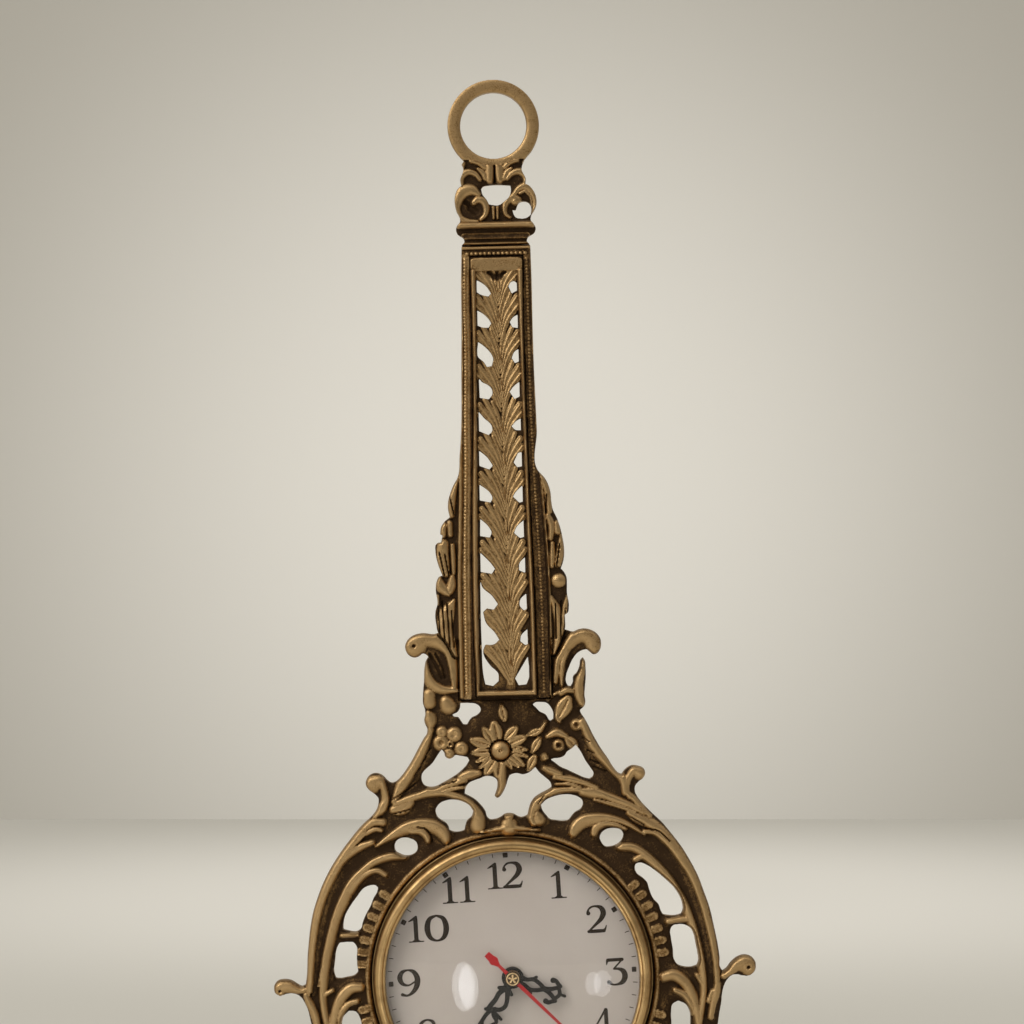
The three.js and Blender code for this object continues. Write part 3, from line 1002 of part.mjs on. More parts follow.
// Motor: a flat stator around the rotor, with the coil on its far leg
add('motor_stator', plated_steel, plate(
  rectangle(stator_left, stator_low, stator_right, core_high), stator_back_z, stator_front_z,
  [
    circle(magnet_radius + running_gap, rotor_at, small_sides),
    rectangle(stator_left + core_width, stator_high, stator_right - core_width, core_low),
  ],
));
const coil_left = (stator_left + stator_right - coil_length) / 2;
const core_mid_z = (stator_front_z + stator_back_z) / 2;
const coil_blank = new THREE.CylinderGeometry(coil_radius, coil_radius, coil_length, small_sides);
const coil_body = solid(
  coil_blank.rotateZ(Math.PI / 2).translate(coil_left + coil_length / 2, coil_at_y, core_mid_z));
add('drive_coil', copper, cut(coil_body, [plate(
  rectangle(coil_left - cut_overrun, core_low - seat_gap,
    coil_left + coil_length + cut_overrun, core_high + seat_gap),
  stator_back_z - seat_gap, stator_front_z + seat_gap,
)]));

// Circuit board against the back cover, with the quartz crystal on it
const board_back_z = back_inner_z + seat_gap;
const board_front_z = board_back_z + board_thickness;
add('circuit_board', board_green, plate(
  rectangle(board_right - board_width, board_low, board_right, board_low + board_height),
  board_back_z, board_front_z,
));
const crystal_blank = new THREE.CylinderGeometry(crystal_radius, crystal_radius, crystal_length, small_sides);
add('quartz_crystal', plated_steel, solid(crystal_blank.translate(
  board_right - board_width / 2, board_low + board_height / 2, board_front_z + seat_gap + crystal_radius,
)));

// Cell in its trough, between the two contacts
const cell_y = divider_low - seat_gap - cell_radius;
const cell_z = case_inner_z - seat_gap - cell_radius;
const contact_right = cavity_half - seat_gap;
const contact_left = contact_right - contact_thickness;
const nub_tip = contact_left - seat_gap;
const cell_right = nub_tip - cell_nub_length;
const cell_left = cell_right - cell_length;
const cell_profile = [
  [0, cell_left], [cell_radius, cell_left], [cell_radius, cell_right], [cell_nub_radius, cell_right],
  [cell_nub_radius, nub_tip], [0, nub_tip],
].map(([r, along]) => new THREE.Vector2(r, along));
const cell_blank = new THREE.LatheGeometry(cell_profile, large_sides / 2);
add('aa_cell', cell_jacket, solid(cell_blank.rotateZ(-Math.PI / 2).translate(0, cell_y, cell_z)));
const contact_plate = (from, to) => plate(
  rectangle(from, cell_y - contact_half_width, to, cell_y + contact_half_width),
  cell_z - contact_half_width, cell_z + contact_half_width,
);
add('battery_contact_positive', plated_steel, contact_plate(contact_left, contact_right));
const spring_reach = cell_left - seat_gap + contact_left;
const spring_blank = new THREE.CylinderGeometry(spring_radius / 2, spring_radius, spring_reach, small_sides);
const spring = solid(spring_blank.rotateZ(-Math.PI / 2)
  .translate(-contact_left + spring_reach / 2 - contact_thickness / 4, cell_y, cell_z));
add('battery_contact_negative', plated_steel, joined([contact_plate(-contact_right, -contact_left), spring]));

// Hands, drawn pointing up and turned clockwise to where they stand
function hand(shares, scale, turn_clockwise, back, front, hole_shares = []) {
  const mirrored = (half) => [...half, ...[...half].reverse().map(([x, y]) => [x, -y])]
    .filter(([, y], i, all) => y !== 0 || all.findIndex(([x]) => x === all[i][0]) === i);
  const facing = Math.PI / 2 - turn_clockwise;
  const turned_point = ([x, y]) => [
    scale * (x * Math.cos(facing) - y * Math.sin(facing)),
    scale * (x * Math.sin(facing) + y * Math.cos(facing)),
  ];
  return cut(plate(mirrored(shares).map(turned_point), back, front), hole_shares.map((hole) =>
    plate(mirrored(hole).map(turned_point), back - cut_overrun, front + cut_overrun)));
}
const press_fit = seat_gap;
const blade_inset = (hub_thickness - hand_thickness) / 2;
const hour_blade_z = hour_hub_z + blade_inset;
add('hour_hand', black_steel, bored(joined([
  hand(hour_hand_shares, hour_hand_length / hour_hand_length_shares, hour_hand_turn, hour_blade_z,
    hour_blade_z + hand_thickness, hour_hand_holes_shares),
  disc(hour_hub_radius, hour_hub_z, hour_hub_z + hub_thickness),
]), pipe_radius + press_fit));
const minute_blade_z = minute_hub_z + blade_inset;
add('minute_hand', black_steel, bored(joined([
  hand(minute_hand_shares, minute_hand_length / minute_hand_length_shares, minute_hand_turn, minute_blade_z,
    minute_blade_z + hand_thickness, minute_hand_holes_shares),
  disc(minute_hub_radius, minute_hub_z, minute_hub_z + hub_thickness),
]), cannon_radius + press_fit));
add('minute_nut', brass,
  tube(cannon_radius + press_fit, minute_nut_radius, minute_nut_z, minute_nut_z + hub_thickness));
add('second_hand', red_steel, bored(joined([
  hand(second_hand_shares, second_hand_length / second_hand_length_shares, second_hand_turn, second_hand_z,
    second_hand_z + hand_thickness),
  disc(minute_nut_radius, second_hand_z, second_hand_z + hand_thickness),
]), second_arbor_radius + press_fit));
add('second_hand_cap', brass, turned([
  [0, cap_z], [cap_radius, cap_z], [cap_radius, cap_z + cap_height / 3],
  [cap_radius / 2, cap_z + cap_height], [0, cap_z + cap_height],
]));

// Upright, with the hanging point at the origin
const hang_y = ring_centre_y + ring_bore;
const hang_z = (ring_back_z + ring_front_z) / 2;
clock.position.set(0, -hang_y, -hang_z);
const upright = new THREE.Group();
upright.rotation.x = Math.PI / 2;
upright.add(clock);

export default upright;
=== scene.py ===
"""Cartel clock in antique cast brass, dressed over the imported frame.

Plan points are in millimetres about the dial's axis: x to the right, y up the wall, and depths z
towards the viewer from the castings' flat back. Each casting keeps the outline of its CAD solid
and is built up as a height field from strokes, then closed by walls and a back."""
import json
import math
import bmesh
import bpy
import numpy as np
from mathutils import Matrix, Vector
from mathutils.geometry import delaunay_2d_cdt

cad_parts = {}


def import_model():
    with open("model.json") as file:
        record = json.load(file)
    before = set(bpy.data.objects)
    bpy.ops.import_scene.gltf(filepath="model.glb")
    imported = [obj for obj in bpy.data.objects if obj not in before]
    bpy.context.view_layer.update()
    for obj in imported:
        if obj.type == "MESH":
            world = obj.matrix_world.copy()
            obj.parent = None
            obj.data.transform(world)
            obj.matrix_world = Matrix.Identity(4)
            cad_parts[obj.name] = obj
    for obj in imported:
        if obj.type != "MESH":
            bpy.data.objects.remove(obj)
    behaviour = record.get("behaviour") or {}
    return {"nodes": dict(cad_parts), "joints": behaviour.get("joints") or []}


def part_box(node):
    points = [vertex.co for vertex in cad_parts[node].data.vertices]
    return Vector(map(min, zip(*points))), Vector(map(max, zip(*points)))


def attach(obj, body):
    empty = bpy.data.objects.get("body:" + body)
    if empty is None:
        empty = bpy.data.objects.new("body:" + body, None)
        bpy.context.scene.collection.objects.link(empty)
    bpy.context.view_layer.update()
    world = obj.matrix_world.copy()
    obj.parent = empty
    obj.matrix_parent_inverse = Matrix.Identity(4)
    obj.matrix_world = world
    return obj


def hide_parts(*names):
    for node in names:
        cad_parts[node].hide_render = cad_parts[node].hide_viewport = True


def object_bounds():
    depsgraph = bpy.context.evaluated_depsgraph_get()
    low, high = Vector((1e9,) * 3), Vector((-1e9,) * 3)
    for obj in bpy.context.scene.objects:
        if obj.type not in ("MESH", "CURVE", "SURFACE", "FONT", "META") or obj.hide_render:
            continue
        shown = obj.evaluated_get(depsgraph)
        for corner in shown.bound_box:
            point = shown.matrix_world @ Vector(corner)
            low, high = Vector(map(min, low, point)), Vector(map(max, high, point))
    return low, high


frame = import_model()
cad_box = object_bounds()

MM = 0.001
AXIS = {j["name"]: j for j in frame["joints"]}["minute_turn"]["pos_m"]
BACK_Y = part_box("dial_frame")[1].y
CLEAR = 0.3


def world(x, y, z):
    return Vector((AXIS[0] + x * MM, BACK_Y - z * MM, AXIS[2] + y * MM))


def depths(node):
    """The lowest and highest depth of a CAD node."""
    low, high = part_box(node)
    return (BACK_Y - high.y) / MM, (BACK_Y - low.y) / MM


def plan_box(node):
    low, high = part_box(node)
    return [((a.x - AXIS[0]) / MM, (a.z - AXIS[2]) / MM) for a in (low, high)]


PLATE_FRONT = depths("tower_casting")[0] - CLEAR
BEZEL_RADIUS = plan_box("bezel")[1][0]


# Node trees

def rgb(red, green, blue):
    """A colour as it shows on screen, from 0 to 255, in linear light."""
    shares = [c / 255 for c in (red, green, blue)]
    return (*[s / 12.92 if s <= 0.04045 else ((s + 0.055) / 1.055) ** 2.4 for s in shares], 1)


class Nodes:
    """A short way to write a node tree: each call makes a node and links or sets its inputs."""

    def __init__(self, owner):
        owner.use_nodes = True
        self.tree = owner.node_tree
        self.tree.nodes.clear()

    def make(self, kind, inputs=(), **settings):
        node = self.tree.nodes.new("ShaderNode" + kind)
        for key, value in settings.items():
            setattr(node, key, value)
        for key, value in dict(inputs).items():
            if isinstance(value, bpy.types.NodeSocket):
                self.tree.links.new(value, node.inputs[key])
            else:
                node.inputs[key].default_value = value
        return node

    def surface(self, shader, output="OutputMaterial"):
        self.make(output, {"Surface": shader.outputs[0]})

    def place(self):
        return self.make("TexCoord").outputs["Object"]

    def maths(self, operation, *values, clamp=False):
        return self.make("Math", enumerate(values), operation=operation, use_clamp=clamp).outputs[0]

    def vectors(self, operation, *values):
        node = self.make("VectorMath", enumerate(values), operation=operation)
        return node.outputs["Value" if operation == "LENGTH" else "Vector"]

    def ramp(self, value, low, high, first=0, last=1, smooth=False):
        """A value between low and high, carried over to first and last and held there."""
        return self.make("MapRange", {0: value, 1: low, 2: high, 3: first, 4: last},
                         interpolation_type="SMOOTHSTEP" if smooth else "LINEAR").outputs[0]

    def blend(self, share, first, second):
        return self.make("Mix", {0: share, 6: first, 7: second}, data_type="RGBA").outputs[2]

    def number(self, share, first, second):
        return self.make("Mix", {0: share, 2: first, 3: second}, data_type="FLOAT").outputs[0]

    def either(self, share, first, second):
        return self.make("MixShader", {0: share, 1: first.outputs[0], 2: second.outputs[0]})

    def seen_by(self, kind, *others):
        """1 on the named kinds of ray, 0 on the rest."""
        rays = self.make("LightPath").outputs
        seen = rays["Is %s Ray" % kind]
        for other in others:
            seen = self.maths("MAXIMUM", seen, rays["Is %s Ray" % other])
        return seen

    def noise(self, scale, detail, rough):
        return self.make("TexNoise", {"Vector": self.place(), "Scale": scale, "Detail": detail,
                                      "Roughness": rough}).outputs["Fac"]

    def bump(self, height, strength, distance):
        return self.make("Bump", {"Height": height, "Strength": strength,
                                  "Distance": distance}).outputs["Normal"]


def material(name):
    made = bpy.data.materials.new(name)
    return made, Nodes(made)


# Camera, light and surroundings

IMAGE_PX = 1024
MM_PER_PX = 0.43
CAMERA_DISTANCE = 1.6
CAMERA_AIM = (4.3, 199.7)
CAMERA_LEAN = math.radians(1.31)
SENSOR = 36
WALL_BEHIND = 3.1
FLOOR_DROP = 0.07
WALL_SIZE = 9
KEY_LIGHT = (1, 0.98, 0.95)
WINDOW_LIGHT = (0.95, 0.97, 1)
WINDOW_SPREAD = 70


def add_camera():
    camera = bpy.data.cameras.new("camera")
    camera.sensor_width = SENSOR
    camera.lens = SENSOR * CAMERA_DISTANCE / (IMAGE_PX * MM_PER_PX * MM)
    holder = bpy.data.objects.new("camera", camera)
    bpy.context.scene.collection.objects.link(holder)
    aim = world(*CAMERA_AIM, PLATE_FRONT)
    holder.matrix_world = (
        Matrix.Translation(aim + Vector((0, -CAMERA_DISTANCE, 0)))
        @ Matrix.Rotation(math.pi / 2, 4, "X") @ Matrix.Rotation(-CAMERA_LEAN, 4, "Z"))
    bpy.context.scene.camera = holder


def add_lamp(name, place, target, width, height, watts, colour, spread=180):
    light = bpy.data.lights.new(name, "AREA")
    light.shape = "ELLIPSE"
    light.size, light.size_y = width, height
    light.energy = watts
    light.spread = math.radians(spread)
    light.color = colour
    lamp = bpy.data.objects.new(name, light)
    bpy.context.scene.collection.objects.link(lamp)
    lamp.location = place
    lamp.rotation_euler = (target - Vector(place)).to_track_quat("-Z", "Y").to_euler()


def add_world():
    """A soft room, pale above and to the left, and dimmer to the right, low and behind the camera.
    It lights the clock, and the camera sees a plain pale backdrop in its place."""
    made = bpy.data.worlds.new("room")
    nodes = Nodes(made)
    way = nodes.make("SeparateXYZ", {0: nodes.make("TexCoord").outputs["Generated"]}).outputs
    up = nodes.ramp(way["Z"], -0.7, 0.8, 0.3, 1.3)
    side = nodes.ramp(way["X"], -0.8, 0.9, 1.1, 0.5)
    behind = nodes.ramp(way["Y"], -0.92, -0.6, 0.26, 1, smooth=True)
    strength = nodes.maths("MULTIPLY", nodes.maths("MULTIPLY", up, side), behind)
    room = nodes.make("Background", {"Color": rgb(238, 234, 227), "Strength": strength})
    pale = nodes.make("Background", {"Color": rgb(206, 202, 192), "Strength": 1.0})
    nodes.surface(nodes.either(nodes.seen_by("Camera", "Transmission"), room, pale), "OutputWorld")
    bpy.context.scene.world = made


def stage_finish(name, middle, edge, centre, start, end, glow):
    """A wall or floor with a painted pool of light, its colour lighter in the middle and darker
    towards the edges. It shows that colour by its own glow to camera, glossy and glass rays.
    """
    made, nodes = material(name)
    reach = nodes.vectors("LENGTH", nodes.vectors("SUBTRACT", nodes.place(), (*centre, 0)))
    colour = nodes.blend(nodes.ramp(reach, start, end, smooth=True), middle, edge)
    diffuse = nodes.make("BsdfDiffuse", {"Color": colour})
    seen = nodes.seen_by("Camera", "Glossy", "Transmission")
    own = nodes.make("Emission", {"Color": colour, "Strength": nodes.maths("MULTIPLY", seen, glow)})
    nodes.surface(nodes.make("AddShader", {0: diffuse.outputs[0], 1: own.outputs[0]}))
    return made


def add_plane(name, place, turn, finish):
    mesh = bpy.data.meshes.new(name)
    half = WALL_SIZE / 2
    mesh.from_pydata([(-half, -half, 0), (half, -half, 0), (half, half, 0), (-half, half, 0)], [],
                     [(0, 1, 2, 3)])
    sheet = bpy.data.objects.new(name, mesh)
    bpy.context.scene.collection.objects.link(sheet)
    sheet.location = place
    sheet.rotation_euler = turn
    mesh.materials.append(finish)


def add_surroundings():
    aim = world(*CAMERA_AIM, 0)
    # The wall and floor carry painted light: lighter in their middles and darker towards their edges.
    wall = stage_finish("wall_paint_and_painted_light", rgb(218, 215, 207), rgb(167, 163, 153), centre=(0, 0.05),
                        start=0.1, end=0.95, glow=0.53)
    floor = stage_finish("floor_paint_and_painted_light", rgb(220, 217, 209), rgb(187, 184, 175), centre=(0.05, 2.2),
                         start=0.25, end=1.08, glow=0.37)
    add_plane("wall", (aim.x, WALL_BEHIND, aim.z), (math.pi / 2, 0, 0), wall)
    add_plane("floor", (aim.x, 0, cad_box[0][2] - FLOOR_DROP), (0, CAMERA_LEAN, 0), floor)
    add_world()
    tower, dial = world(0, 150, 0), world(0, 0, 0)
    add_lamp("key", (-1.3, -1.45, tower.z + 1.4), tower, width=1.3, height=1.5, watts=21, colour=KEY_LIGHT)
    add_lamp("left_window", (-0.16, -0.6, dial.z - 0.092), dial, width=0.072, height=0.16, watts=0.034,
             colour=WINDOW_LIGHT, spread=WINDOW_SPREAD)
    add_lamp("right_window", (0.299, -0.6, dial.z - 0.1), dial, width=0.062, height=0.09, watts=0.011,
             colour=WINDOW_LIGHT, spread=WINDOW_SPREAD)


# Plan lines and fields

STRAIGHT = 0.02
FAR = 1e9


def section(node, depth):
    """The closed lines where a CAD solid crosses a depth, largest first."""
    mesh = frame["nodes"][node].data
    mesh.calc_loop_triangles()
    co = np.array([v.co for v in mesh.vertices])
    plan = np.column_stack([co[:, 0] - AXIS[0], co[:, 2] - AXIS[2], BACK_Y - co[:, 1]]) / MM
    points, merged = np.unique(np.round(plan, 3), axis=0, return_inverse=True)
    merged = merged.reshape(-1)
    above = points[:, 2] > depth
    place, links = {}, {}
    for triangle in mesh.loop_triangles:
        corners = merged[list(triangle.vertices)]
        ends = []
        for a, b in zip(corners, np.roll(corners, -1)):
            if above[a] != above[b]:
                key = (min(a, b), max(a, b))
                low, high = points[key[0]], points[key[1]]
                place[key] = (low + (high - low) * (depth - low[2]) / (high[2] - low[2]))[:2]
                ends.append(key)
        if len(ends) == 2:
            links.setdefault(ends[0], []).append(ends[1])
            links.setdefault(ends[1], []).append(ends[0])
    loops = []
    while links:
        here = next(iter(links))
        loop = []
        while here is not None:
            loop.append(place[here])
            onward = [key for key in links.pop(here) if key in links]
            here = onward[0] if onward else None
        loops.append(np.array(loop))
    return sorted(loops, key=lambda loop: -area(loop))


def area(loop):
    ahead = np.roll(loop, -1, 0)
    return abs(np.sum(loop[:, 0] * ahead[:, 1] - ahead[:, 0] * loop[:, 1])) / 2


def straightened(loop):
    """The loop without the points that lie on the line between their neighbours."""
    before, ahead = np.roll(loop, 1, 0), np.roll(loop, -1, 0)
    run = ahead - before
    reach = np.maximum(np.linalg.norm(run, axis=1), 1e-9)
    off = np.abs(run[:, 0] * (loop - before)[:, 1] - run[:, 1] * (loop - before)[:, 0]) / reach
    return loop[off > STRAIGHT]


def curve(points, closed=False, step=0.6, corner=62):
    """A smooth line through given points. It keeps corners sharper than the given degrees."""
    points = np.asarray(points, float)
    count = len(points)
    runs = np.roll(points, -1, 0) - points
    if not closed:
        runs[-1] = runs[-2]
    before = np.roll(runs, 1, 0)
    if not closed:
        before[0] = runs[0]
    length = np.maximum(np.linalg.norm(runs[:, :2], axis=1, keepdims=True), 1e-9)
    length_before = np.maximum(np.linalg.norm(before[:, :2], axis=1, keepdims=True), 1e-9)
    way, way_before = runs / length, before / length_before
    along = (way_before * length + way * length_before) / (length + length_before)
    turn = np.degrees(np.arccos(np.clip(np.sum(way[:, :2] * way_before[:, :2], axis=1), -1, 1)))
    sharp = (turn > corner)[:, None]
    leaving, arriving = np.where(sharp, way, along), np.where(sharp, way_before, along)
    made = []
    for i in range(count if closed else count - 1):
        j = (i + 1) % count
        steps = max(1, math.ceil(length[i, 0] / step))
        t = (np.arange(steps) / steps)[:, None]
        made.append(
            (2 * t**3 - 3 * t**2 + 1) * points[i] + (t**3 - 2 * t**2 + t) * length[i] * leaving[i]
            + (3 * t**2 - 2 * t**3) * points[j] + (t**3 - t**2) * length[i] * arriving[j])
    if not closed:
        made.append(points[-1:])
    return np.concatenate(made)


def runs_of(line):
    return np.hypot(*np.diff(line[:, :2], axis=0).T)


class Field:
    """A grid over a part of the plan, with the signed distance to an outline and a height. It also
    keeps how polished each place is, and the tone of its patina; on the tower's flank strips these
    also hold painted highlight and painted shade."""

    def __init__(self, low, high, step):
        self.step = step
        self.x = np.arange(low[0], high[0] + step, step)
        self.y = np.arange(low[1], high[1] + step, step)
        self.clear()

    def clear(self):
        self.height = np.zeros((len(self.y), len(self.x)))
        self.inset = np.full(self.height.shape, -1.0)
        self.shine = np.zeros(self.height.shape)
        self.tone = np.full(self.height.shape, 0.5)
        self.rim_z = 0

    def twin(self):
        """An empty field over the same grid."""
        other = Field((0, 0), (0, 0), self.step)
        other.x, other.y = self.x, self.y
        other.clear()
        return other

    def window(self, low, high):
        """The slice of the grid between two corners."""
        i0, i1 = np.searchsorted(self.x, (low[0], high[0]))
        j0, j1 = np.searchsorted(self.y, (low[1], high[1]))
        return slice(j0, j1), slice(i0, i1)

    def offsets(self, place, part=(slice(None), slice(None))):
        """How far each point of a slice of the grid lies from a place, along x and y."""
        return self.x[part[1]][None, :] - place[0], self.y[part[0]][:, None] - place[1]

    def reach(self, place=(0, 0)):
        return np.hypot(*self.offsets(place))

    def below(self, y):
        """True over the rows of the grid that lie below y."""
        return np.broadcast_to(self.y[:, None] < y, self.height.shape)

    def off_segment(self, part, a, b):
        """Over a slice of the grid: the share along the segment, the distance from it, and whether
        the point lies to its left."""
        length = max(float(np.hypot(*(b - a))), 1e-9)
        ux, uy = (b - a) / length
        px, py = self.offsets(a, part)
        t = np.clip((px * ux + py * uy) / length, 0, 1)
        return t, np.hypot(px - t * length * ux, py - t * length * uy), ux * py - uy * px > 0

    def ink(self, points):
        """Adds a stroke of (x, y, half width) rows to the outline."""
        line = curve(points, step=0.4, corner=75)
        for a, b in zip(line, line[1:]):
            reach = max(a[2], b[2]) + 3 * self.step
            part = self.window(np.minimum(a, b)[:2] - reach, np.maximum(a, b)[:2] + reach)
            t, off, _ = self.off_segment(part, a[:2], b[:2])
            self.inset[part] = np.maximum(self.inset[part], a[2] + (b[2] - a[2]) * t - off)

    def near(self, line, reaches, closed=False):
        """Over the window that a line reaches: the distance from it in shares of its reach on that
        side, the place along it, and the plain distance. Reaches are rows of (left, right)."""
        reaches = np.broadcast_to(np.asarray(reaches, float), (len(line), 2))
        most = reaches.max()
        window = self.window(line.min(0) - most, line.max(0) + most)
        shape = self.height[window].shape
        share, along, distance = np.full(shape, FAR), np.zeros(shape), np.full(shape, FAR)
        run = 0.0
        for i in range(len(line) if closed else len(line) - 1):
            j = (i + 1) % len(line)
            a, b = line[i], line[j]
            reach = max(reaches[i].max(), reaches[j].max())
            part = self.window(np.minimum(a, b) - reach, np.maximum(a, b) + reach)
            local = tuple(slice(p.start - w.start, p.stop - w.start) for p, w in zip(part, window))
            length = float(np.hypot(*(b - a)))
            if length > 1e-9 and part[0].start < part[0].stop and part[1].start < part[1].stop:
                t, off, left = self.off_segment(part, a, b)
                here = reaches[i] + (reaches[j] - reaches[i]) * t[..., None]
                scaled = off / np.maximum(np.where(left, here[..., 0], here[..., 1]), 1e-6)
                closer = scaled < share[local]
                share[local] = np.where(closer, scaled, share[local])
                distance[local] = np.where(closer, off, distance[local])
                along[local] = np.where(closer, run + t * length, along[local])
            run += length
        return window, share, along, distance

    def within(self, loops):
        """True at the grid points inside the loops, by counting crossings."""
        starts = np.concatenate(loops)
        ends = np.concatenate([np.roll(loop, -1, 0) for loop in loops])
        inside = np.zeros(self.height.shape, bool)
        for j, y in enumerate(self.y + 1e-7):
            hit = (starts[:, 1] <= y) != (ends[:, 1] <= y)
            a, b = starts[hit], ends[hit]
            crossings = np.sort(a[:, 0] + (y - a[:, 1]) * (b[:, 0] - a[:, 0]) / (b[:, 1] - a[:, 1]))
            inside[j] = np.searchsorted(crossings, self.x) % 2 == 1
        return inside

    def outline(self, loops, reach=6):
        """Takes closed lines as the outline, with distances up to a reach."""
        found = np.full(self.height.shape, float(reach))
        for loop in loops:
            window, _, _, distance = self.near(loop, reach, closed=True)
            found[window] = np.minimum(found[window], distance)
        self.inset = np.where(self.within(loops), found, -found)
        return self

    def raise_to(self, window, share, height, shine):
        """Lifts the field to a form, where share is below 1. The form is polished, all but its edge."""
        self.height[window] = np.maximum(self.height[window], np.where(share < 1, height, -FAR))
        self.shine[window] = np.maximum(self.shine[window], shine * np.clip((1 - share) / 0.3, 0, 1))

    def pillow(self, low, high, radius, shine=0.0):
        """The whole plan swells from its edge to its middle."""
        self.shine = np.maximum(self.shine, shine)
        t = np.clip(1 - np.maximum(self.inset, 0) / radius, 0, 1)
        self.height = np.maximum(self.height, low + (high - low) * np.sqrt(1 - t * t))

    def strokes(self, forms, shape, top, foot, shine=1.0, spread=1.0):
        """Raised forms, each along its crest. Rows are (x, y, half width), or (x, y, left, right)
        where the two sides reach differently far."""
        for points in forms:
            line = curve([(*p, p[2]) if len(p) == 3 else p for p in points])
            window, share, along, _ = self.near(line[:, :2], np.maximum(line[:, 2:] * spread, 0.05))
            made = shape(np.minimum(share, 1), along, float(np.sum(runs_of(line))))
            self.raise_to(window, share, foot + (top - foot) * made, shine)

    def grooves(self, forms, depth):
        for points in forms:
            line = curve([(*p, p[2]) for p in points])
            window, share, _, _ = self.near(line[:, :2], np.maximum(line[:, 2:], 0.05))
            cut = np.where(share < 1, np.cos(np.minimum(share, 1) * math.pi / 2) ** 2, 0)
            self.height[window] -= depth * cut
            self.shine[window] *= 1 - 0.8 * cut

    def knob(self, x, y, radius, top, foot, pit=0, shine=1.0):
        """A round boss, with a pit in its middle."""
        window = self.window((x - radius, y - radius), (x + radius, y + radius))
        share = np.hypot(*self.offsets((x, y), window)) / radius
        made = foot + (top - foot) * np.sqrt(np.clip(1 - share**2, 0, 1))
        made -= pit * np.clip(1 - (share / 0.42) ** 2, 0, 1)
        self.raise_to(window, share, made, shine)

    def beads(self, points, pitch, radius, top, foot, shine=1.0):
        """A row of round beads along a line."""
        line = curve(points, step=0.5)
        run = np.concatenate([[0], np.cumsum(runs_of(line))])
        for at in np.arange(pitch / 2, run[-1], pitch):
            self.knob(np.interp(at, run, line[:, 0]), np.interp(at, run, line[:, 1]), radius, top, foot,
                      shine=shine)

    def cap(self, mask, most):
        self.height = np.where(mask, np.minimum(self.height, most), self.height)

    def roll_edges(self, rim_z, top, radius, but=None):
        """The front turns down towards the outline, where it ends at rim_z, but not in a given place."""
        self.rim_z = rim_z
        t = np.clip(1 - np.maximum(self.inset, 0) / radius, 0, 1)
        rolled = np.minimum(self.height, rim_z + (top - rim_z) * np.sqrt(1 - t * t))
        self.height = rolled if but is None else np.where(but, self.height, rolled)

    def soft(self, values, sigma):
        """Values over the grid, blurred."""
        rows = np.fft.fftfreq(values.shape[0])[:, None]
        cols = np.fft.rfftfreq(values.shape[1])[None, :]
        kernel = np.exp(-2 * (math.pi * sigma / self.step) ** 2 * (rows**2 + cols**2))
        return np.fft.irfft2(np.fft.rfft2(values) * kernel, values.shape)

    def sunk(self, sigma):
        """How far each place lies below the material round it."""
        solid = (self.inset > 0).astype(float)
        around = self.soft(self.height * solid, sigma) / np.maximum(self.soft(solid, sigma), 1e-3)
        return around - self.height

    def age(self, base=0.2):
        """The patina: 0 on what hands polish, 1 in the recesses. Where the shine is set lighter on one
        side than the other, as on the tower's flank strips, it is painted highlight and painted shade.
        """
        hollow = 0.55 * self.sunk(0.6) + 0.3 * self.sunk(1.8)
        self.tone = np.clip(base + 0.62 * (1 - self.shine) + hollow, 0, 1)

    def weather(self, skin, most=math.inf, base=0.2):
        """The uneven skin of a sand casting, up to a height, and its patina."""
        rng = np.random.default_rng(7)
        for sigma, share in ((1.6, 0.6), (0.6, 0.4)):
            rough = self.soft(rng.standard_normal(self.height.shape), sigma)
            self.height += rough * (skin * share / rough.std())
        self.height = np.minimum(self.height, most)
        self.age(base)


# Cross sections of strokes: heights from 0 to 1 over share, the distance from the line in half widths

def bead(share, along, length):
    return np.sqrt(1 - share**2)


def swell(share, along, length):
    """A broad form that falls away from its crest."""
    return (1 - share**2.6) ** 0.7


def veined(share, along, length):
    """A flat blade with fine grooves that run along it."""
    body = np.clip(1 - share**5, 0, 1) ** 0.5
    return body * (0.9 - 0.14 * share**2) + 0.1 * np.cos(share * 19) * np.clip(along / 2, 0, 1)


def block(share, along, length):
    """A flat band with steep sides."""
    return np.clip((1 - share) * 5, 0, 1)


def scoop(share, along, length):
    """Raised lips with a hollow between them."""
    lip = np.sqrt(np.clip(1 - ((share - 0.72) / 0.28) ** 2, 0, 1))
    return np.where(share > 0.72, lip, 0.62 + 0.38 * (share / 0.72) ** 2)


def leaf(share, along, length):
    """A rounded blade with a raised midrib and a groove at each side of it."""
    body = np.sqrt(1 - share**2)
    ribs = 0.12 * np.exp(-((share / 0.13) ** 2)) - 0.2 * np.exp(-(((share - 0.36) / 0.15) ** 2))
    return np.clip(body * 0.92 + ribs * np.clip(along / max(length, 1e-6) * 4, 0, 1), 0, 1)


def petal(share, along, length):
    """A petal with a shallow dish and a fine crease."""
    body = np.sqrt(np.clip(1 - share**4, 0, 1))
    return np.clip(body * (0.82 + 0.18 * share) - 0.16 * np.exp(-((share / 0.14) ** 2)), 0, 1)


# Meshes from fields

RIM_TONE = 0.4
BACK_TONE = 0.62
CAST_CORNER = 50
FILL_BATCHES = 60


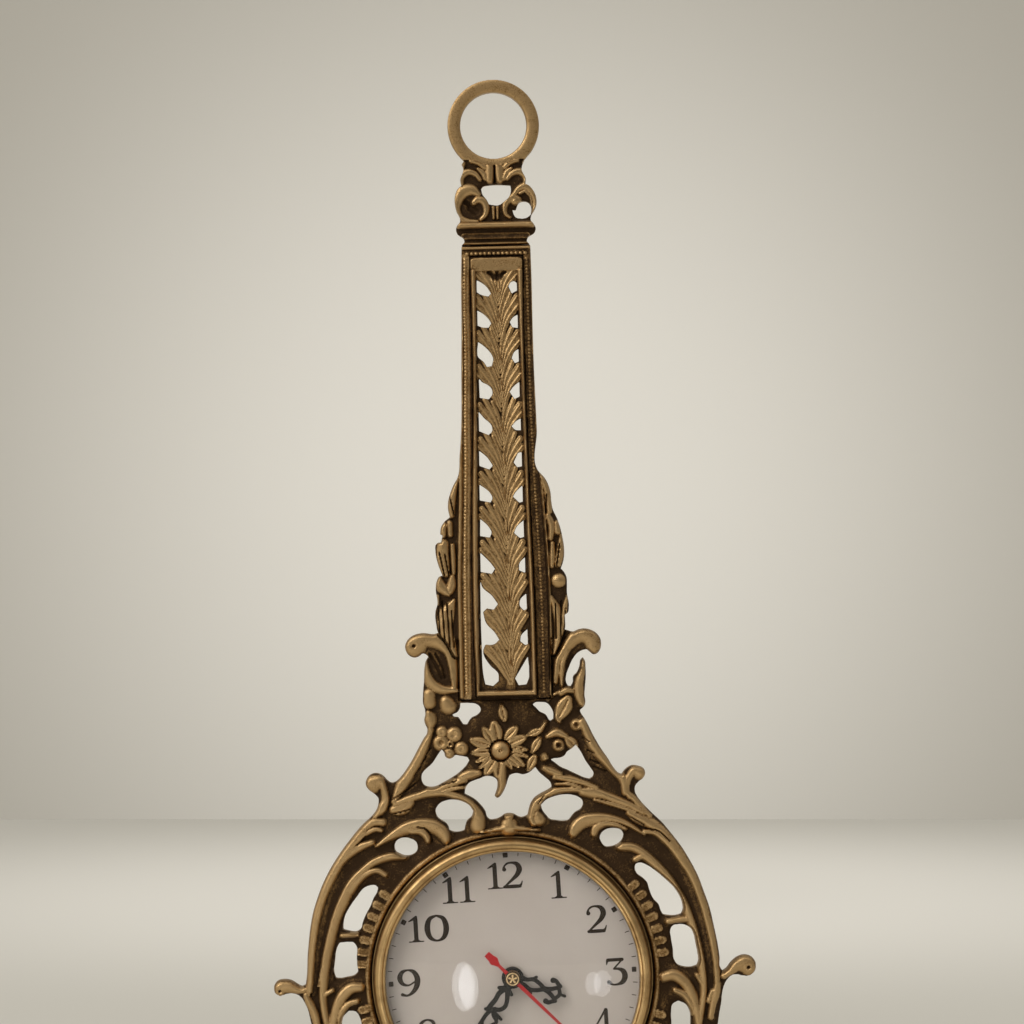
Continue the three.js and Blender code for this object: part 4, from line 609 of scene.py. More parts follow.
def trace(inset):
    """Marching squares: polygons of grid and edge points, with the edges that lie on the outline.
    A grid point is (j, i), and an edge point is a pair of them."""
    inside = inset > 0
    full = inside[:-1, :-1] & inside[:-1, 1:] & inside[1:, 1:] & inside[1:, :-1]
    some = inside[:-1, :-1] | inside[:-1, 1:] | inside[1:, 1:] | inside[1:, :-1]
    partial, rim = [], []
    for j, i in zip(*np.nonzero(some & ~full)):
        ring = [(j, i), (j, i + 1), (j + 1, i + 1), (j + 1, i)]
        polygon = []
        for here, there in zip(ring, ring[1:] + ring[:1]):
            if inside[here]:
                polygon.append(here)
            if inside[here] != inside[there]:
                polygon.append((min(here, there), max(here, there)))
        partial.append(polygon)
        for point, onward in zip(polygon, polygon[1:] + polygon[:1]):
            if isinstance(point[0], tuple) and isinstance(onward[0], tuple):
                rim.append((point, onward))
    return inside, full, partial, rim


def rim_place(field, key):
    (j0, i0), (j1, i1) = key
    a, b = field.inset[j0, i0], field.inset[j1, i1]
    t = min(max(a / (a - b), 0.03), 0.97)
    return field.x[i0] + (field.x[i1] - field.x[i0]) * t, field.y[j0] + (field.y[j1] - field.y[j0]) * t


def link(mesh, finish, body, *nodes, slot):
    """A mesh as a piece of the model that rides on a body and stands for CAD nodes."""
    piece = bpy.data.objects.new(mesh.name, mesh)
    bpy.context.scene.collection.objects.link(piece)
    mesh.materials.append(finish)
    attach(piece, body)
    if nodes:
        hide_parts(*nodes)


def filled(points, edges):
    """Triangles between closed lines: those from whose middle a ray crosses an odd number of edges."""
    _, _, faces, origins, _, _ = delaunay_2d_cdt([Vector(p) for p in points], edges, [], 0, 1e-7)
    corners = np.array([[origins[v][0] for v in face] for face in faces if all(origins[v] for v in face)])
    plan = np.array(points)
    middles = plan[corners].mean(axis=1)
    starts, ends = plan[[a for a, _ in edges]], plan[[b for _, b in edges]]
    kept = []
    for some, part in zip(np.array_split(corners, FILL_BATCHES), np.array_split(middles, FILL_BATCHES)):
        y = part[:, 1:]
        across = (starts[:, 1] <= y) != (ends[:, 1] <= y)
        rise = np.where(ends[:, 1] == starts[:, 1], 1, ends[:, 1] - starts[:, 1])
        meets = starts[:, 0] + (y - starts[:, 1]) * (ends[:, 0] - starts[:, 0]) / rise > part[:, :1]
        kept += some[(across & meets).sum(axis=1) % 2 == 1].tolist()
    return kept


def cast_mesh(name, field, back, put=world):
    """A closed casting: the built-up front, walls along the outline and a flat back."""
    inside, full, partial, rim = trace(field.inset)
    index = np.full(inside.shape, -1)
    index[inside] = np.arange(inside.sum())
    verts = [tuple(put(field.x[i], field.y[j], field.height[j, i])) for j, i in zip(*np.nonzero(inside))]
    tone = list(field.tone[inside])
    j, i = np.nonzero(full)
    faces = np.column_stack([index[j, i], index[j, i + 1], index[j + 1, i + 1], index[j + 1, i]]).tolist()
    front, behind, outline_points = {}, {}, []
    for polygon in partial:
        for key in polygon:
            if isinstance(key[0], tuple) and key not in front:
                x, y = rim_place(field, key)
                near = key[0] if inside[key[0]] else key[1]
                front[key] = len(verts)
                verts.append(tuple(put(x, y, min(field.rim_z, field.height[near]))))
                tone.append(min(field.tone[near], RIM_TONE))
                behind[key] = len(outline_points)
                outline_points.append((x, y))
        faces.append([front[key] if isinstance(key[0], tuple) else int(index[key]) for key in polygon])
    first_back = len(verts)
    verts += [tuple(put(x, y, back)) for x, y in outline_points]
    tone += [BACK_TONE] * len(outline_points)
    for a, b in rim:
        faces.append([front[a], first_back + behind[a], first_back + behind[b], front[b]])
    for corners in filled(outline_points, [(behind[a], behind[b]) for a, b in rim]):
        faces.append([first_back + corner for corner in reversed(corners)])
    mesh = bpy.data.meshes.new(name)
    mesh.from_pydata(verts, [], faces)
    # The patina tone, with painted highlight and painted shade in it on the tower's flank strips
    mesh.attributes.new("patina", "FLOAT", "POINT").data.foreach_set("value", np.array(tone, np.float32))
    mesh.shade_smooth()
    mesh.set_sharp_from_angle(angle=math.radians(CAST_CORNER))
    return mesh


def sheet_mesh(name, field, back, front):
    """A flat piece cut from sheet along the field's outline."""
    rim = trace(field.inset)[3]
    number, plan = {}, []
    for pair in rim:
        for key in pair:
            if key not in number:
                number[key] = len(plan)
                plan.append(rim_place(field, key))
    edges = [(number[a], number[b]) for a, b in rim]
    count = len(plan)
    verts = [tuple(world(x, y, z)) for z in (front, back) for x, y in plan]
    faces = []
    for corners in filled(plan, edges):
        faces += [list(corners), [corner + count for corner in reversed(corners)]]
    faces += [[a, a + count, b + count, b] for a, b in edges]
    mesh = bpy.data.meshes.new(name)
    mesh.from_pydata(verts, [], faces)
    return mesh


def lathe(name, profile, sides=192, at=(0, 0), smooth=40, closed=True):
    """A turned piece from its (radius, depth) profile."""
    verts, faces = [], []
    for angle in [2 * math.pi * k / sides for k in range(sides)]:
        verts += [tuple(world(at[0] + r * math.cos(angle), at[1] + r * math.sin(angle), z))
                  for r, z in profile]
    count = len(profile)
    for k in range(sides):
        here, there = k * count, (k + 1) % sides * count
        for n in range(count if closed else count - 1):
            m = (n + 1) % count
            faces.append((here + n, there + n, there + m, here + m))
    mesh = bpy.data.meshes.new(name)
    mesh.from_pydata(verts, [], faces)
    bm = bmesh.new()
    bm.from_mesh(mesh)
    bmesh.ops.remove_doubles(bm, verts=bm.verts, dist=1e-7)
    bmesh.ops.dissolve_degenerate(bm, edges=bm.edges, dist=1e-7)
    bmesh.ops.recalc_face_normals(bm, faces=bm.faces)
    bm.to_mesh(mesh)
    bm.free()
    mesh.shade_smooth()
    mesh.set_sharp_from_angle(angle=math.radians(smooth))
    return mesh


# Finishes

POLISHED = rgb(178, 147, 103)
WORN = rgb(128, 99, 62)
RECESS = rgb(63, 45, 26)


def antique_brass(name, polished, worn, rough):
    """Cast brass: polished where it is touched, brown and grainy in the recesses. On the tower's
    flank strips the patina tone also holds painted highlight and painted shade.
    """
    made, nodes = material(name)
    tone = nodes.make("Attribute", attribute_name="patina").outputs["Fac"]
    cloud = nodes.maths("MULTIPLY_ADD", nodes.noise(240, 4, 0.6), 0.7, -0.35)
    speck = nodes.maths("MULTIPLY_ADD", nodes.noise(1500, 3, 0.65), 1.1, -0.55)
    sunk = nodes.maths("ADD", nodes.maths("ADD", tone, cloud), speck, clamp=True)
    wear = nodes.ramp(sunk, 0.2, 0.55, smooth=True)
    deep = nodes.ramp(sunk, 0.45, 0.9, smooth=True)
    grain = nodes.maths("MULTIPLY_ADD", nodes.noise(700, 3, 0.6), 0.8, nodes.noise(2600, 2, 0.7))
    nodes.surface(nodes.make("BsdfPrincipled", {
        "Base Color": nodes.blend(deep, nodes.blend(wear, polished, worn), RECESS),
        "Metallic": nodes.number(deep, 1, 0.82), "Roughness": nodes.number(sunk, *rough),
        "Normal": nodes.bump(grain, 0.7, 0.00014)}))
    return made


def turned_metal(name, colour, dark, rough, lines):
    """Metal spun on a lathe: fine rings about the dial's axis and faint tarnish."""
    made, nodes = material(name)
    moved = nodes.vectors("SUBTRACT", nodes.place(), (AXIS[0], 0, AXIS[2]))
    radius = nodes.vectors("LENGTH", nodes.vectors("MULTIPLY", moved, (1, 0, 1)))
    rings = nodes.make("TexNoise", {"W": radius, "Scale": 9000, "Detail": 2},
                       noise_dimensions="1D").outputs["Fac"]
    tarnish = nodes.ramp(nodes.noise(90, 5, 0.65), 0.45, 0.75)
    nodes.surface(nodes.make("BsdfPrincipled", {
        "Base Color": nodes.blend(tarnish, colour, dark), "Metallic": 1.0,
        "Roughness": nodes.number(tarnish, rough, rough + 0.16),
        "Normal": nodes.bump(rings, lines, 0.00004)}))
    return made


def plain_finish(name, colour, other, rough, metallic=0.0, grain=900, bump=0.25, scale=60, gloss=0.5):
    """Moulded, printed or plated surface: two close colours in clouds, over a fine grain."""
    made, nodes = material(name)
    cloud = nodes.ramp(nodes.noise(scale, 4, 0.6), 0.35, 0.7)
    fine = nodes.noise(grain, 3, 0.6)
    nodes.surface(nodes.make("BsdfPrincipled", {
        "Base Color": nodes.blend(cloud, rgb(*colour), rgb(*other)), "Metallic": metallic,
        "Specular IOR Level": gloss, "Roughness": nodes.number(fine, rough - 0.08, rough + 0.08),
        "Normal": nodes.bump(fine, bump, 0.00006)}))
    return made


def lens_glass():
    """Clear glass that lets the lamps through to the dial."""
    made, nodes = material("lens_glass")
    smear = nodes.ramp(nodes.noise(45, 3, 0.5), 0.4, 0.8, 0.0, 0.02)
    glass = nodes.make("BsdfPrincipled", {"Base Color": (1, 1, 1, 1), "Roughness": smear, "IOR": 1.34,
                                          "Transmission Weight": 1.0})
    nodes.surface(nodes.either(nodes.seen_by("Shadow"), glass, nodes.make("BsdfTransparent")))
    return made


# Plan forms

def wide(points, half):
    return [(x, y, half) for x, y in points]


def bar(reach, y, half):
    return [(-reach, y, half), (reach, y, half)]


def mirrored(points):
    return [(-p[0], *p[1:]) for p in points]


def blade(x0, y0, x1, y1, half):
    """A short petal from its root to its tip."""
    along = ((x0, y0, 0.5), (x0 * 0.4 + x1 * 0.6, y0 * 0.4 + y1 * 0.6, 1), (x1, y1, 0.6))
    return [(x, y, half * share) for x, y, share in along]


def polar(turn, radius):
    """A place at an angle, anticlockwise from three in radians."""
    return radius * math.cos(turn), radius * math.sin(turn)


def circle(radius, sides=180):
    return [polar(2 * math.pi * k / sides, radius) for k in range(sides + 1)]


def radial(degrees, start, end, half):
    turn = math.radians(degrees)
    return [(*polar(turn, start), half), (*polar(turn, end), half)]


SCREW_HOLE_AREA = 9
GRID_MARGIN = 1


def grid_over(node, step):
    low, high = plan_box(node)
    return Field([value - GRID_MARGIN for value in low], [value + GRID_MARGIN for value in high], step)


def outlined(node, depth, step):
    """A field over a node, cut along the node's outline at a depth and kept within the node's box.
    Screw holes stay under their heads."""
    loops = [curve(straightened(loop), closed=True, corner=50)
             for loop in section(node, depth) if area(loop) > SCREW_HOLE_AREA]
    field = grid_over(node, step).outline(loops)
    for across, lowest, highest in zip((field.x, field.y[:, None]), *plan_box(node)):
        field.inset = np.minimum(field.inset, np.minimum(across - lowest, highest - across))
    return field


def cast_piece(name, node, field, back, finish):
    link(cast_mesh(name, field, back), finish, "clock_body", node, slot="cast_brass")


# The round frame. A form is written along its crest: (x, y, half width), or (x, y, left, right)
# where it falls away further on one side than on the other.

SIDE_FORMS = [
    [(-62, 64.2, 1.2, 2.6), (-67, 59, 1.6, 3), (-72, 52.5, 1.8, 3), (-76.3, 45, 1.6, 2.8),
     (-80, 37, 1.3, 2.6), (-83, 27, 1.1, 2.4), (-85, 16, 1, 2.2), (-86.2, 5, 1, 2.2), (-87, -4, 1, 2)],
    [(-67, 60.5, 4, 1), (-62, 65.2, 2.6, 1.4), (-57.5, 68, 1.6, 1.6), (-54.3, 67.8, 1.6, 1.6)],
    [(-66, 59, 1.2, 0.8), (-61, 63.3, 1.1, 1), (-57, 64.8, 1.1, 1), (-55, 64.4, 0.9, 0.9)],
    [(-76, 45, 3, 1.2), (-72, 51.5, 3, 1.4), (-67.5, 55.3, 2.6, 1.5), (-62.5, 58, 1.6, 1.4),
     (-59, 59.3, 1.2, 1.2)],
    [(-46, 53.3, 1.5, 1.3), (-52, 53.3, 2, 1.2), (-58, 51.5, 2, 1.1), (-63.5, 47.5, 1.8, 1.1),
     (-68.5, 42.5, 2.4, 1.2), (-72, 36.5, 3, 1.2), (-75.5, 29, 2.8, 1), (-78.5, 19.5, 2.8, 0.9),
     (-80.7, 10, 2.6, 0.9), (-82, 0, 2.4, 0.9), (-82.2, -8, 2, 0.9), (-81, -16, 1.8, 1),
     (-79, -24, 1.6, 1)],
    [(-53.5, 45.3, 1.1, 1), (-57, 47.3, 1.3, 1), (-61.5, 46.2, 1.5, 0.9), (-66, 42.8, 1.8, 0.8),
     (-69, 39, 2, 0.8)],
    [(-65.5, -3, 1.6, 1.8), (-69, -2.8, 2.2, 1.8), (-73, -5.5, 2.6, 1.8), (-76, -11, 2.4, 1.6),
     (-77.5, -17, 2, 1.5), (-77.8, -23, 2, 1.4)],
    [(-67, -8.8, 1, 1.2), (-70.5, -9.6, 1.3, 1.1), (-73.5, -12.5, 1.6, 1), (-75, -17, 1.6, 0.9)],
    [(-77.5, -3.8, 0.9), (-80.5, -5.5, 1)],
    [(-89, -5.5, 0.9), (-87.5, -9, 1.5), (-85.3, -14, 1.6), (-84, -20, 1.4)],
    [(-89.5, -3.5, 1.2), (-93, -3, 1.7), (-96.5, -1.8, 2.4), (-99.3, -2.2, 2.7), (-100.2, -4, 2)],
    [(51.5, 69.5, 1.2, 1.2), (55.5, 67, 2.2, 2), (60, 64.5, 2.6, 1.6), (65, 60.3, 2.8, 1.4),
     (70, 54.3, 2.8, 1.5), (74.5, 47.5, 2.8, 1.4), (78.3, 40, 2.6, 1.2), (81.3, 31.5, 2.4, 1),
     (84, 21.5, 2.2, 1), (86, 11, 2, 0.9), (87.2, 1, 1.8, 0.9), (87.3, -4, 1.4, 0.9)],
    [(58, 61.3, 1, 1), (62, 60.8, 1.6, 1.1), (66.5, 57.3, 1.4, 1.2), (71, 52, 1, 1.2), (75, 45.5, 0.8, 1)],
    [(47.5, 55, 1.6, 1.6), (53, 54.8, 1.4, 2), (58, 52, 1.2, 2), (62.5, 48, 1.1, 2.2), (67, 43, 1.1, 2.6),
     (71.5, 36.5, 1, 3), (75, 30, 1, 2.6), (78, 22, 0.9, 2.6), (80.5, 12, 0.9, 2.4), (82, 2, 0.9, 2.2),
     (82.3, -7, 0.9, 1.8), (81.3, -14, 1, 1.6), (79.8, -22, 1, 1.6)],
    [(53.5, 49.5, 1, 1.2), (56.5, 50.7, 1, 1.3), (60.5, 48.5, 1, 1.6), (65, 44, 0.9, 1.8)],
    [(65, -1.5, 2, 1.8), (69, -0.8, 2.2, 2), (73, -3.3, 2.2, 2), (76.5, -8.5, 2, 2),
     (78.5, -14.5, 1.8, 1.8), (79.3, -21, 1.6, 1.6)],
    [(69.5, -7, 1.2, 1.2), (73, -8.7, 1.2, 1.4), (75.5, -12, 1.1, 1.3), (77, -17, 1, 1.2)],
    [(79, -0.8, 0.9), (81.3, -4.5, 1.1)], [(85.3, -8, 0.9), (83.8, -12, 1.1)],
    [(87.8, -4.5, 1.3), (87, -9, 1.5), (85.5, -14, 1.3), (84.5, -19, 1.2)],
    [(90.5, -1.5, 1.2), (93.5, 1, 1.8), (97, 3.3, 2.5), (100.3, 3.6, 3.5), (101.6, 2, 3)],
    [(-73, 19.6, 0.9), (-66.3, 19.8, 0.9)], [(67, 22.4, 1.1), (72, 23.3, 1.2), (77.5, 23, 1)],
    [(-78.5, 20, 0.5), (-81.8, 6, 0.5), (-83.5, -2, 0.4)]]
TOP_FORMS = [
    [(-49.5, 76.5, 1), (-46, 83, 2.1), (-41, 91, 2.3), (-36.5, 99, 2), (-33, 107, 1.5)],
    [(50, 78, 1.2), (49.6, 83, 1.7), (44, 90, 1.9), (37.5, 97.5, 1.9), (32.4, 109, 1.5)],
    [(-58, 84.2, 3.3), (-55.6, 85.6, 2.4)],
    [(-54.5, 86.5, 1, 1.6), (-52.8, 82, 0.8, 1.9), (-52, 77.5, 0.8, 2.2), (-53.5, 73, 0.9, 2.2)],
    [(-57.5, 70.8, 1.2), (-54.5, 73.8, 1.9), (-53, 76.8, 1)], [(57, 87, 3.2), (56, 87.6, 3)],
    [(56.5, 88.6, 1.5, 1.6), (53, 87, 1.8, 1.3), (50.9, 83.5, 1.6, 0.9), (50.4, 79.5, 1.4, 0.8),
     (51.8, 76, 1.2, 0.8)], [(-49.5, 73, 1.7), (-46, 73.8, 2.6), (-42, 75.8, 1.5)],
    [(-49, 75.5, 1, 1), (-42, 78, 1.4, 1.6), (-34, 79.6, 1.4, 1.5), (-26, 79.5, 1.3, 1.4),
     (-20, 77.3, 1.4, 1.8), (-15.5, 73.3, 1.8, 2.3), (-13, 68.5, 2.2, 2.6), (-13.3, 65.2, 2.6, 2.8)],
    [(-12.5, 88, 1.2), (-16, 87.6, 1.9), (-20, 86.5, 1.6)],
    [(-18.5, 85, 1), (-25, 83.8, 1.9), (-32, 81.3, 1.6), (-38, 79.5, 1)],
    [(-18, 82.2, 0.6), (-24, 81.4, 1), (-30, 79.9, 0.8)],
    [(33, 79.5, 1.1, 1), (26, 80.2, 1.3, 1.1), (19, 79.4, 1.6, 1.3), (13.5, 76.8, 2.2, 1.5),
     (10.3, 72.5, 2.4, 1.5), (9.3, 68.5, 1.8, 1.3), (10.5, 65.8, 1.4, 1.2)],
    [(12, 70, 1.2), (12.8, 67.3, 2.4)], [(15.6, 89.6, 1), (19, 88, 1.5), (22.5, 86.7, 1)],
    [(20, 85.4, 0.9), (26, 84.6, 1.4), (32, 82.9, 1.2), (38, 80.6, 0.9)],
    [(20.5, 82.6, 0.6), (26, 82.4, 0.8), (31, 81, 0.6)],
    [(32, 79, 1.8), (36, 78.6, 2.3), (40, 77.6, 1.8), (46, 75.3, 1.6), (53, 72.3, 1.4), (58, 69.3, 1)],
    [(37, 75.4, 0.7), (46, 72.8, 0.9), (54, 69.8, 0.7)],
    [(51.5, 77.5, 1), (55.5, 73.8, 1.4), (60.5, 68, 1)], [(0, 69.3, 1.7), (0, 66.5, 1.7), (0, 64.6, 3.4)],
    [(-12, 62.6, 0.5), (-5, 63.7, 0.9), (0, 64.3, 1.2), (5, 63.7, 0.9), (13, 63, 0.5)],
    [(-57.5, 57.5, 0.5, 0.6), (-51, 62, 1.2, 1.8), (-44, 66, 1.6, 3.2), (-37, 67.3, 1.6, 3.8),
     (-31, 65.5, 2, 3.2), (-27.5, 61.8, 1.8, 2.6), (-27, 59.8, 1.5, 1.9)],
    [(-42, 63.5, 0.8, 1), (-37.5, 63.3, 1.2, 1.5), (-35.3, 61, 1.4, 1.4), (-35, 59.3, 1, 1)],
    [(58, 60, 0.6, 0.5), (51, 64.5, 0.9, 1.2), (44.5, 67.2, 1.4, 1.4), (37, 68, 3.2, 1.6),
     (31, 66.6, 3.2, 1.8), (28, 63.5, 2.6, 1.8), (27, 61.4, 2, 1.4)],
    [(50, 62.5, 0.6, 0.8), (45, 64.7, 1.1, 1.1), (40, 65.2, 1.7, 1.2), (36.8, 63.3, 1.9, 1.2),
     (36, 60.9, 1.5, 1.2)],
    [(-39, 143.3, 4.2, 4.2), (-35, 146, 2.6, 3.2), (-31, 146, 2.4, 3.2), (-27.5, 143.7, 2.4, 2.4),
     (-25, 140, 2.8, 1.3), (-23.8, 135, 3, 0.9), (-23.2, 129.5, 2.6, 0.7), (-22.5, 125, 1.6, 0.6)],
    [(-34, 136.5, 0.5, 0.5), (-33, 131, 0.9, 2.3), (-30.8, 127.3, 1, 3.2), (-27, 124.8, 1.1, 2.4),
     (-23, 123.7, 1.4, 1.1), (-20.8, 123.5, 0.8, 0.7)], [(-33, 122, 2.3), (-33, 118.5, 2.3)],
    [(-26, 119, 2.2), (-25, 117, 3)], [(-33.5, 114.5, 0.9), (-33, 111.5, 2.5), (-32.8, 109.7, 1.9)],
    [(38.5, 141.6, 3.2, 2.9), (37.3, 145, 3.4, 2.9), (33.5, 147, 3.4, 2.1), (29.5, 145.5, 3, 1.9),
     (27, 142.5, 2.4, 1.7), (24.8, 139.2, 1.6, 1.4), (22.8, 136, 1.3, 1.3), (21.6, 131, 1.6, 0.9),
     (21, 126.5, 1.3, 0.7)],
    [(27, 139.5, 0.8, 1), (25, 135, 0.8, 1.3), (24.3, 130, 0.8, 1.3), (24, 125, 0.6, 0.9)],
    [(33.3, 136.3, 0.5, 0.4), (33, 131, 1, 1.1), (31.8, 126, 1.3, 2.1), (31.5, 121, 1.7, 2.1),
     (32.2, 117, 1.5, 1.3)], [(23.5, 121.5, 1.2), (26, 122.8, 1.3), (28.5, 122.3, 0.9)],
    [(18, 119, 0.6), (21, 121.3, 0.7), (23.5, 122.5, 0.5)],
    [(21.3, 111.5, 0.8), (22.3, 109.6, 0.7), (23, 109, 0.5)],
    [(17.3, 103, 1), (21, 104.7, 1.6), (25.2, 103, 1.1)], [(14.5, 105.8, 0.9), (16.5, 109, 0.7)],
    [(-2, 91.5, 1.2), (-2.8, 86, 1.7), (-3, 82.5, 1.9), (-5, 78, 1.3)]]
LOWER_FORMS = [
    [(83.7, -24, 1.6), (79.5, -35, 2.1), (72, -47.5, 2.2), (63, -58, 2.2), (56, -66, 1.9),
     (50, -72.5, 1.4)],
    [(79.5, -22, 1.4), (75.5, -33, 1.6), (68, -44.5, 1.7), (59.5, -54, 1.7), (52.5, -60.5, 1.5),
     (45, -65, 1.3)], [(61, -69.5, 1), (63.8, -71.3, 2.1), (64.5, -72, 1.8)],
    [(58, -64, 1.3), (52, -69, 2.2), (46, -72, 2.2), (41, -71, 1.3)],
    [(44, -76.5, 1.3), (38.5, -84, 1.9), (36.2, -90.3, 2.5), (39.5, -92.5, 2)],
    [(38.5, -66, 1.2), (31, -70, 2), (26, -76, 2), (24.5, -83, 1.6)],
    [(36, -80, 1.2), (31, -88, 1.8), (25, -94.5, 1.9), (19, -98, 1.6)],
    [(4, -97, 1.1), (11.5, -100.5, 1.8), (20, -97.5, 1.6)], [(3, -64.6, 1.5), (12, -66, 2), (20, -70, 1.7)],
    [(5, -108, 1.1), (9, -105, 1.4), (13, -101, 1.2)]]
RIM_SLOPES = [
    [(-68, 57.5, 3.2, 0.6), (-72, 52.5, 4, 0.6), (-76.3, 45, 4.6, 0.6), (-80, 37, 4.8, 0.6),
     (-83, 27, 4.8, 0.6), (-85, 16, 4.6, 0.6), (-86.2, 5, 4.2, 0.6), (-86.5, -4, 3.8, 0.6)],
    [(70, 54, 0.6, 3.4), (74.5, 47.5, 0.6, 4), (78.3, 40, 0.6, 4.6), (81.3, 31.5, 0.6, 4.8),
     (84, 21.5, 0.6, 4.8), (86, 11, 0.6, 4.4), (87.2, 1, 0.6, 4)]]

# Petals and leaflets, as root, tip and half width
PETALS = [
    (-4, 101.5, -5.4, 108.7, 2.4), (-0.5, 102.5, 3.7, 106.8, 1.9), (0.5, 100, 7, 102.7, 2),
    (-6.5, 101.5, -9.7, 106.8, 1.7), (-7.5, 99.7, -14.8, 102, 2), (-7.8, 97.2, -14.5, 96.7, 1.7),
    (-7.4, 95.8, -13.4, 92.8, 1), (-6.8, 94.6, -12, 90.2, 1), (-5.6, 93.4, -9.2, 88.2, 2),
    (-3.6, 93, -4.3, 86.8, 2.1), (-1, 93.6, 1.6, 89.8, 1), (0, 94.4, 4.4, 90.4, 1.1),
    (1, 95.6, 6.6, 91, 1.4), (1.5, 97.3, 8.3, 94.6, 1.1), (1.6, 98.8, 8.2, 97.6, 1),
    (-2.2, 116.6, -1, 110.8, 1.7), (25.8, 101.8, 29, 98.6, 2), (9, 103.8, 14.6, 105.9, 1.4),
    (10.6, 96.6, 13.8, 102, 1.6), (8.8, 89.2, 11.6, 94.4, 1.7), (22.3, 111, 26.4, 118.6, 2.8)]

# Knobs as place, radius and the depth of the pit, and pits as place and radius
FRAME_KNOBS = [
    (-28.4, 101.4, 4.1, 1.2), (-22.8, 104.7, 3.9, 0.8), (-28, 105.9, 3.1, 0.6), (-19.8, 98.6, 3.6, 0.6),
    (-25.4, 96.2, 3.3, 0.5), (-24.5, 100.6, 2, 1.8), (22, 99.2, 3.1, 2.6), (15.7, 94.2, 2.1, 0.8),
    (29.8, 107.8, 3, 2), (-26.5, 93.8, 1, 0), (38, -89.5, 2.8, 0.8), (-38, -89.5, 2.8, 0.8),
    (64, -71.3, 2, 0.6), (-64, -71.3, 2, 0.6)]
FRAME_PITS = [(-39.2, 143.2, 1.3), (101.3, 2.1, 1.1), (-100, -3.6, 0.8)]
FRAME_GROOVES = [
    [(-32.9, 99.2, 0.5), (-35.4, 95.8, 0.25)], [(-35, 95.4, 0.5), (-37.6, 91.8, 0.25)],
    [(-37.6, 91, 0.5), (-40.2, 87.6, 0.25)], [(-50, 77.5, 0.4), (-44, 81, 0.5), (-38.5, 85, 0.4)],
    [(32.3, 102.2, 0.5), (35.2, 100.4, 0.5)], [(34.3, 96.7, 0.5), (37.2, 95.4, 0.5)],
    [(35.3, 92.6, 0.5), (39.2, 90.9, 0.5)], [(36.8, 89.6, 0.5), (42.2, 87.4, 0.5)],
    [(-39.5, 65.4, 0.4), (-36, 64.6, 0.5), (-33.8, 61.6, 0.5), (-33.2, 59, 0.4)],
    [(58.5, 62.6, 0.5), (64, 61.4, 0.5), (69, 56.8, 0.4)], [(-61.5, 62, 0.4), (-65.5, 58.3, 0.4)],
    [(-50, 71.2, 0.4), (-42.5, 73, 0.5)], [(-22, 84.9, 0.4), (-30, 83, 0.4)],
    [(-32.5, 139.5, 1), (-29.5, 134, 1.2), (-27.4, 129, 1)],
    [(-30, 139.5, 0.8), (-27.2, 134, 0.9), (-26, 129, 0.7)], [(14.2, 74, 0.4), (17, 77.2, 0.4)],
    [(12.6, 74.2, 0.4), (15.2, 77.6, 0.4)], [(52, 67.8, 0.4), (58, 64.2, 0.5)]]

# Lobes of the shell at the foot, as angle from upright and reach, and the turns that bricks fill
SHELL_FOOT = (0, -112)
SHELL_LOBES = [(-0.52, 38), (-0.35, 43), (-0.17, 46), (0, 47.5), (0.17, 46), (0.35, 43), (0.52, 38)]
BRICK_TURNS = ((-62, -11), (8, 36), (146, 174.5), (191, 242))
BRICK_PITCH = 4.65

FRAME_STEP = 0.5
FRAME_TOP = depths("dial_frame")[1] - 0.05
FRAME_FOOT = 3.7
RIDGE_RADIUS = 62.3
FORM_SPREAD = 1.5
SKIRT_SPREAD = 2.5


def bricks(field, low, high):
    """Blocks with a bright edge along the rim round the bezel, between two angles in degrees."""
    course = [radial(turn, 65.1, 66, 2.1)[0] for turn in np.arange(low, high, 2)]
    turns = np.arange(low, high, BRICK_PITCH)
    field.strokes([course], block, 5.0, 3.8, shine=0.1)
    field.strokes([radial(turn, 64, 66.3, 2.0) for turn in turns], block, 5.8, 4.6, shine=0.5)
    field.strokes([radial(turn + 1.2, 63.6, 66.8, 0.5) for turn in turns], bead, 6.2, 4.8, shine=0.8)


def shell_lobe(turn, reach):
    x, y = SHELL_FOOT
    tip = (x + reach * math.sin(turn), y + reach * math.cos(turn))
    return [(x, y, 0.8), ((x + tip[0]) / 2, (y + tip[1]) / 2, 2), (*tip, 3.1)]


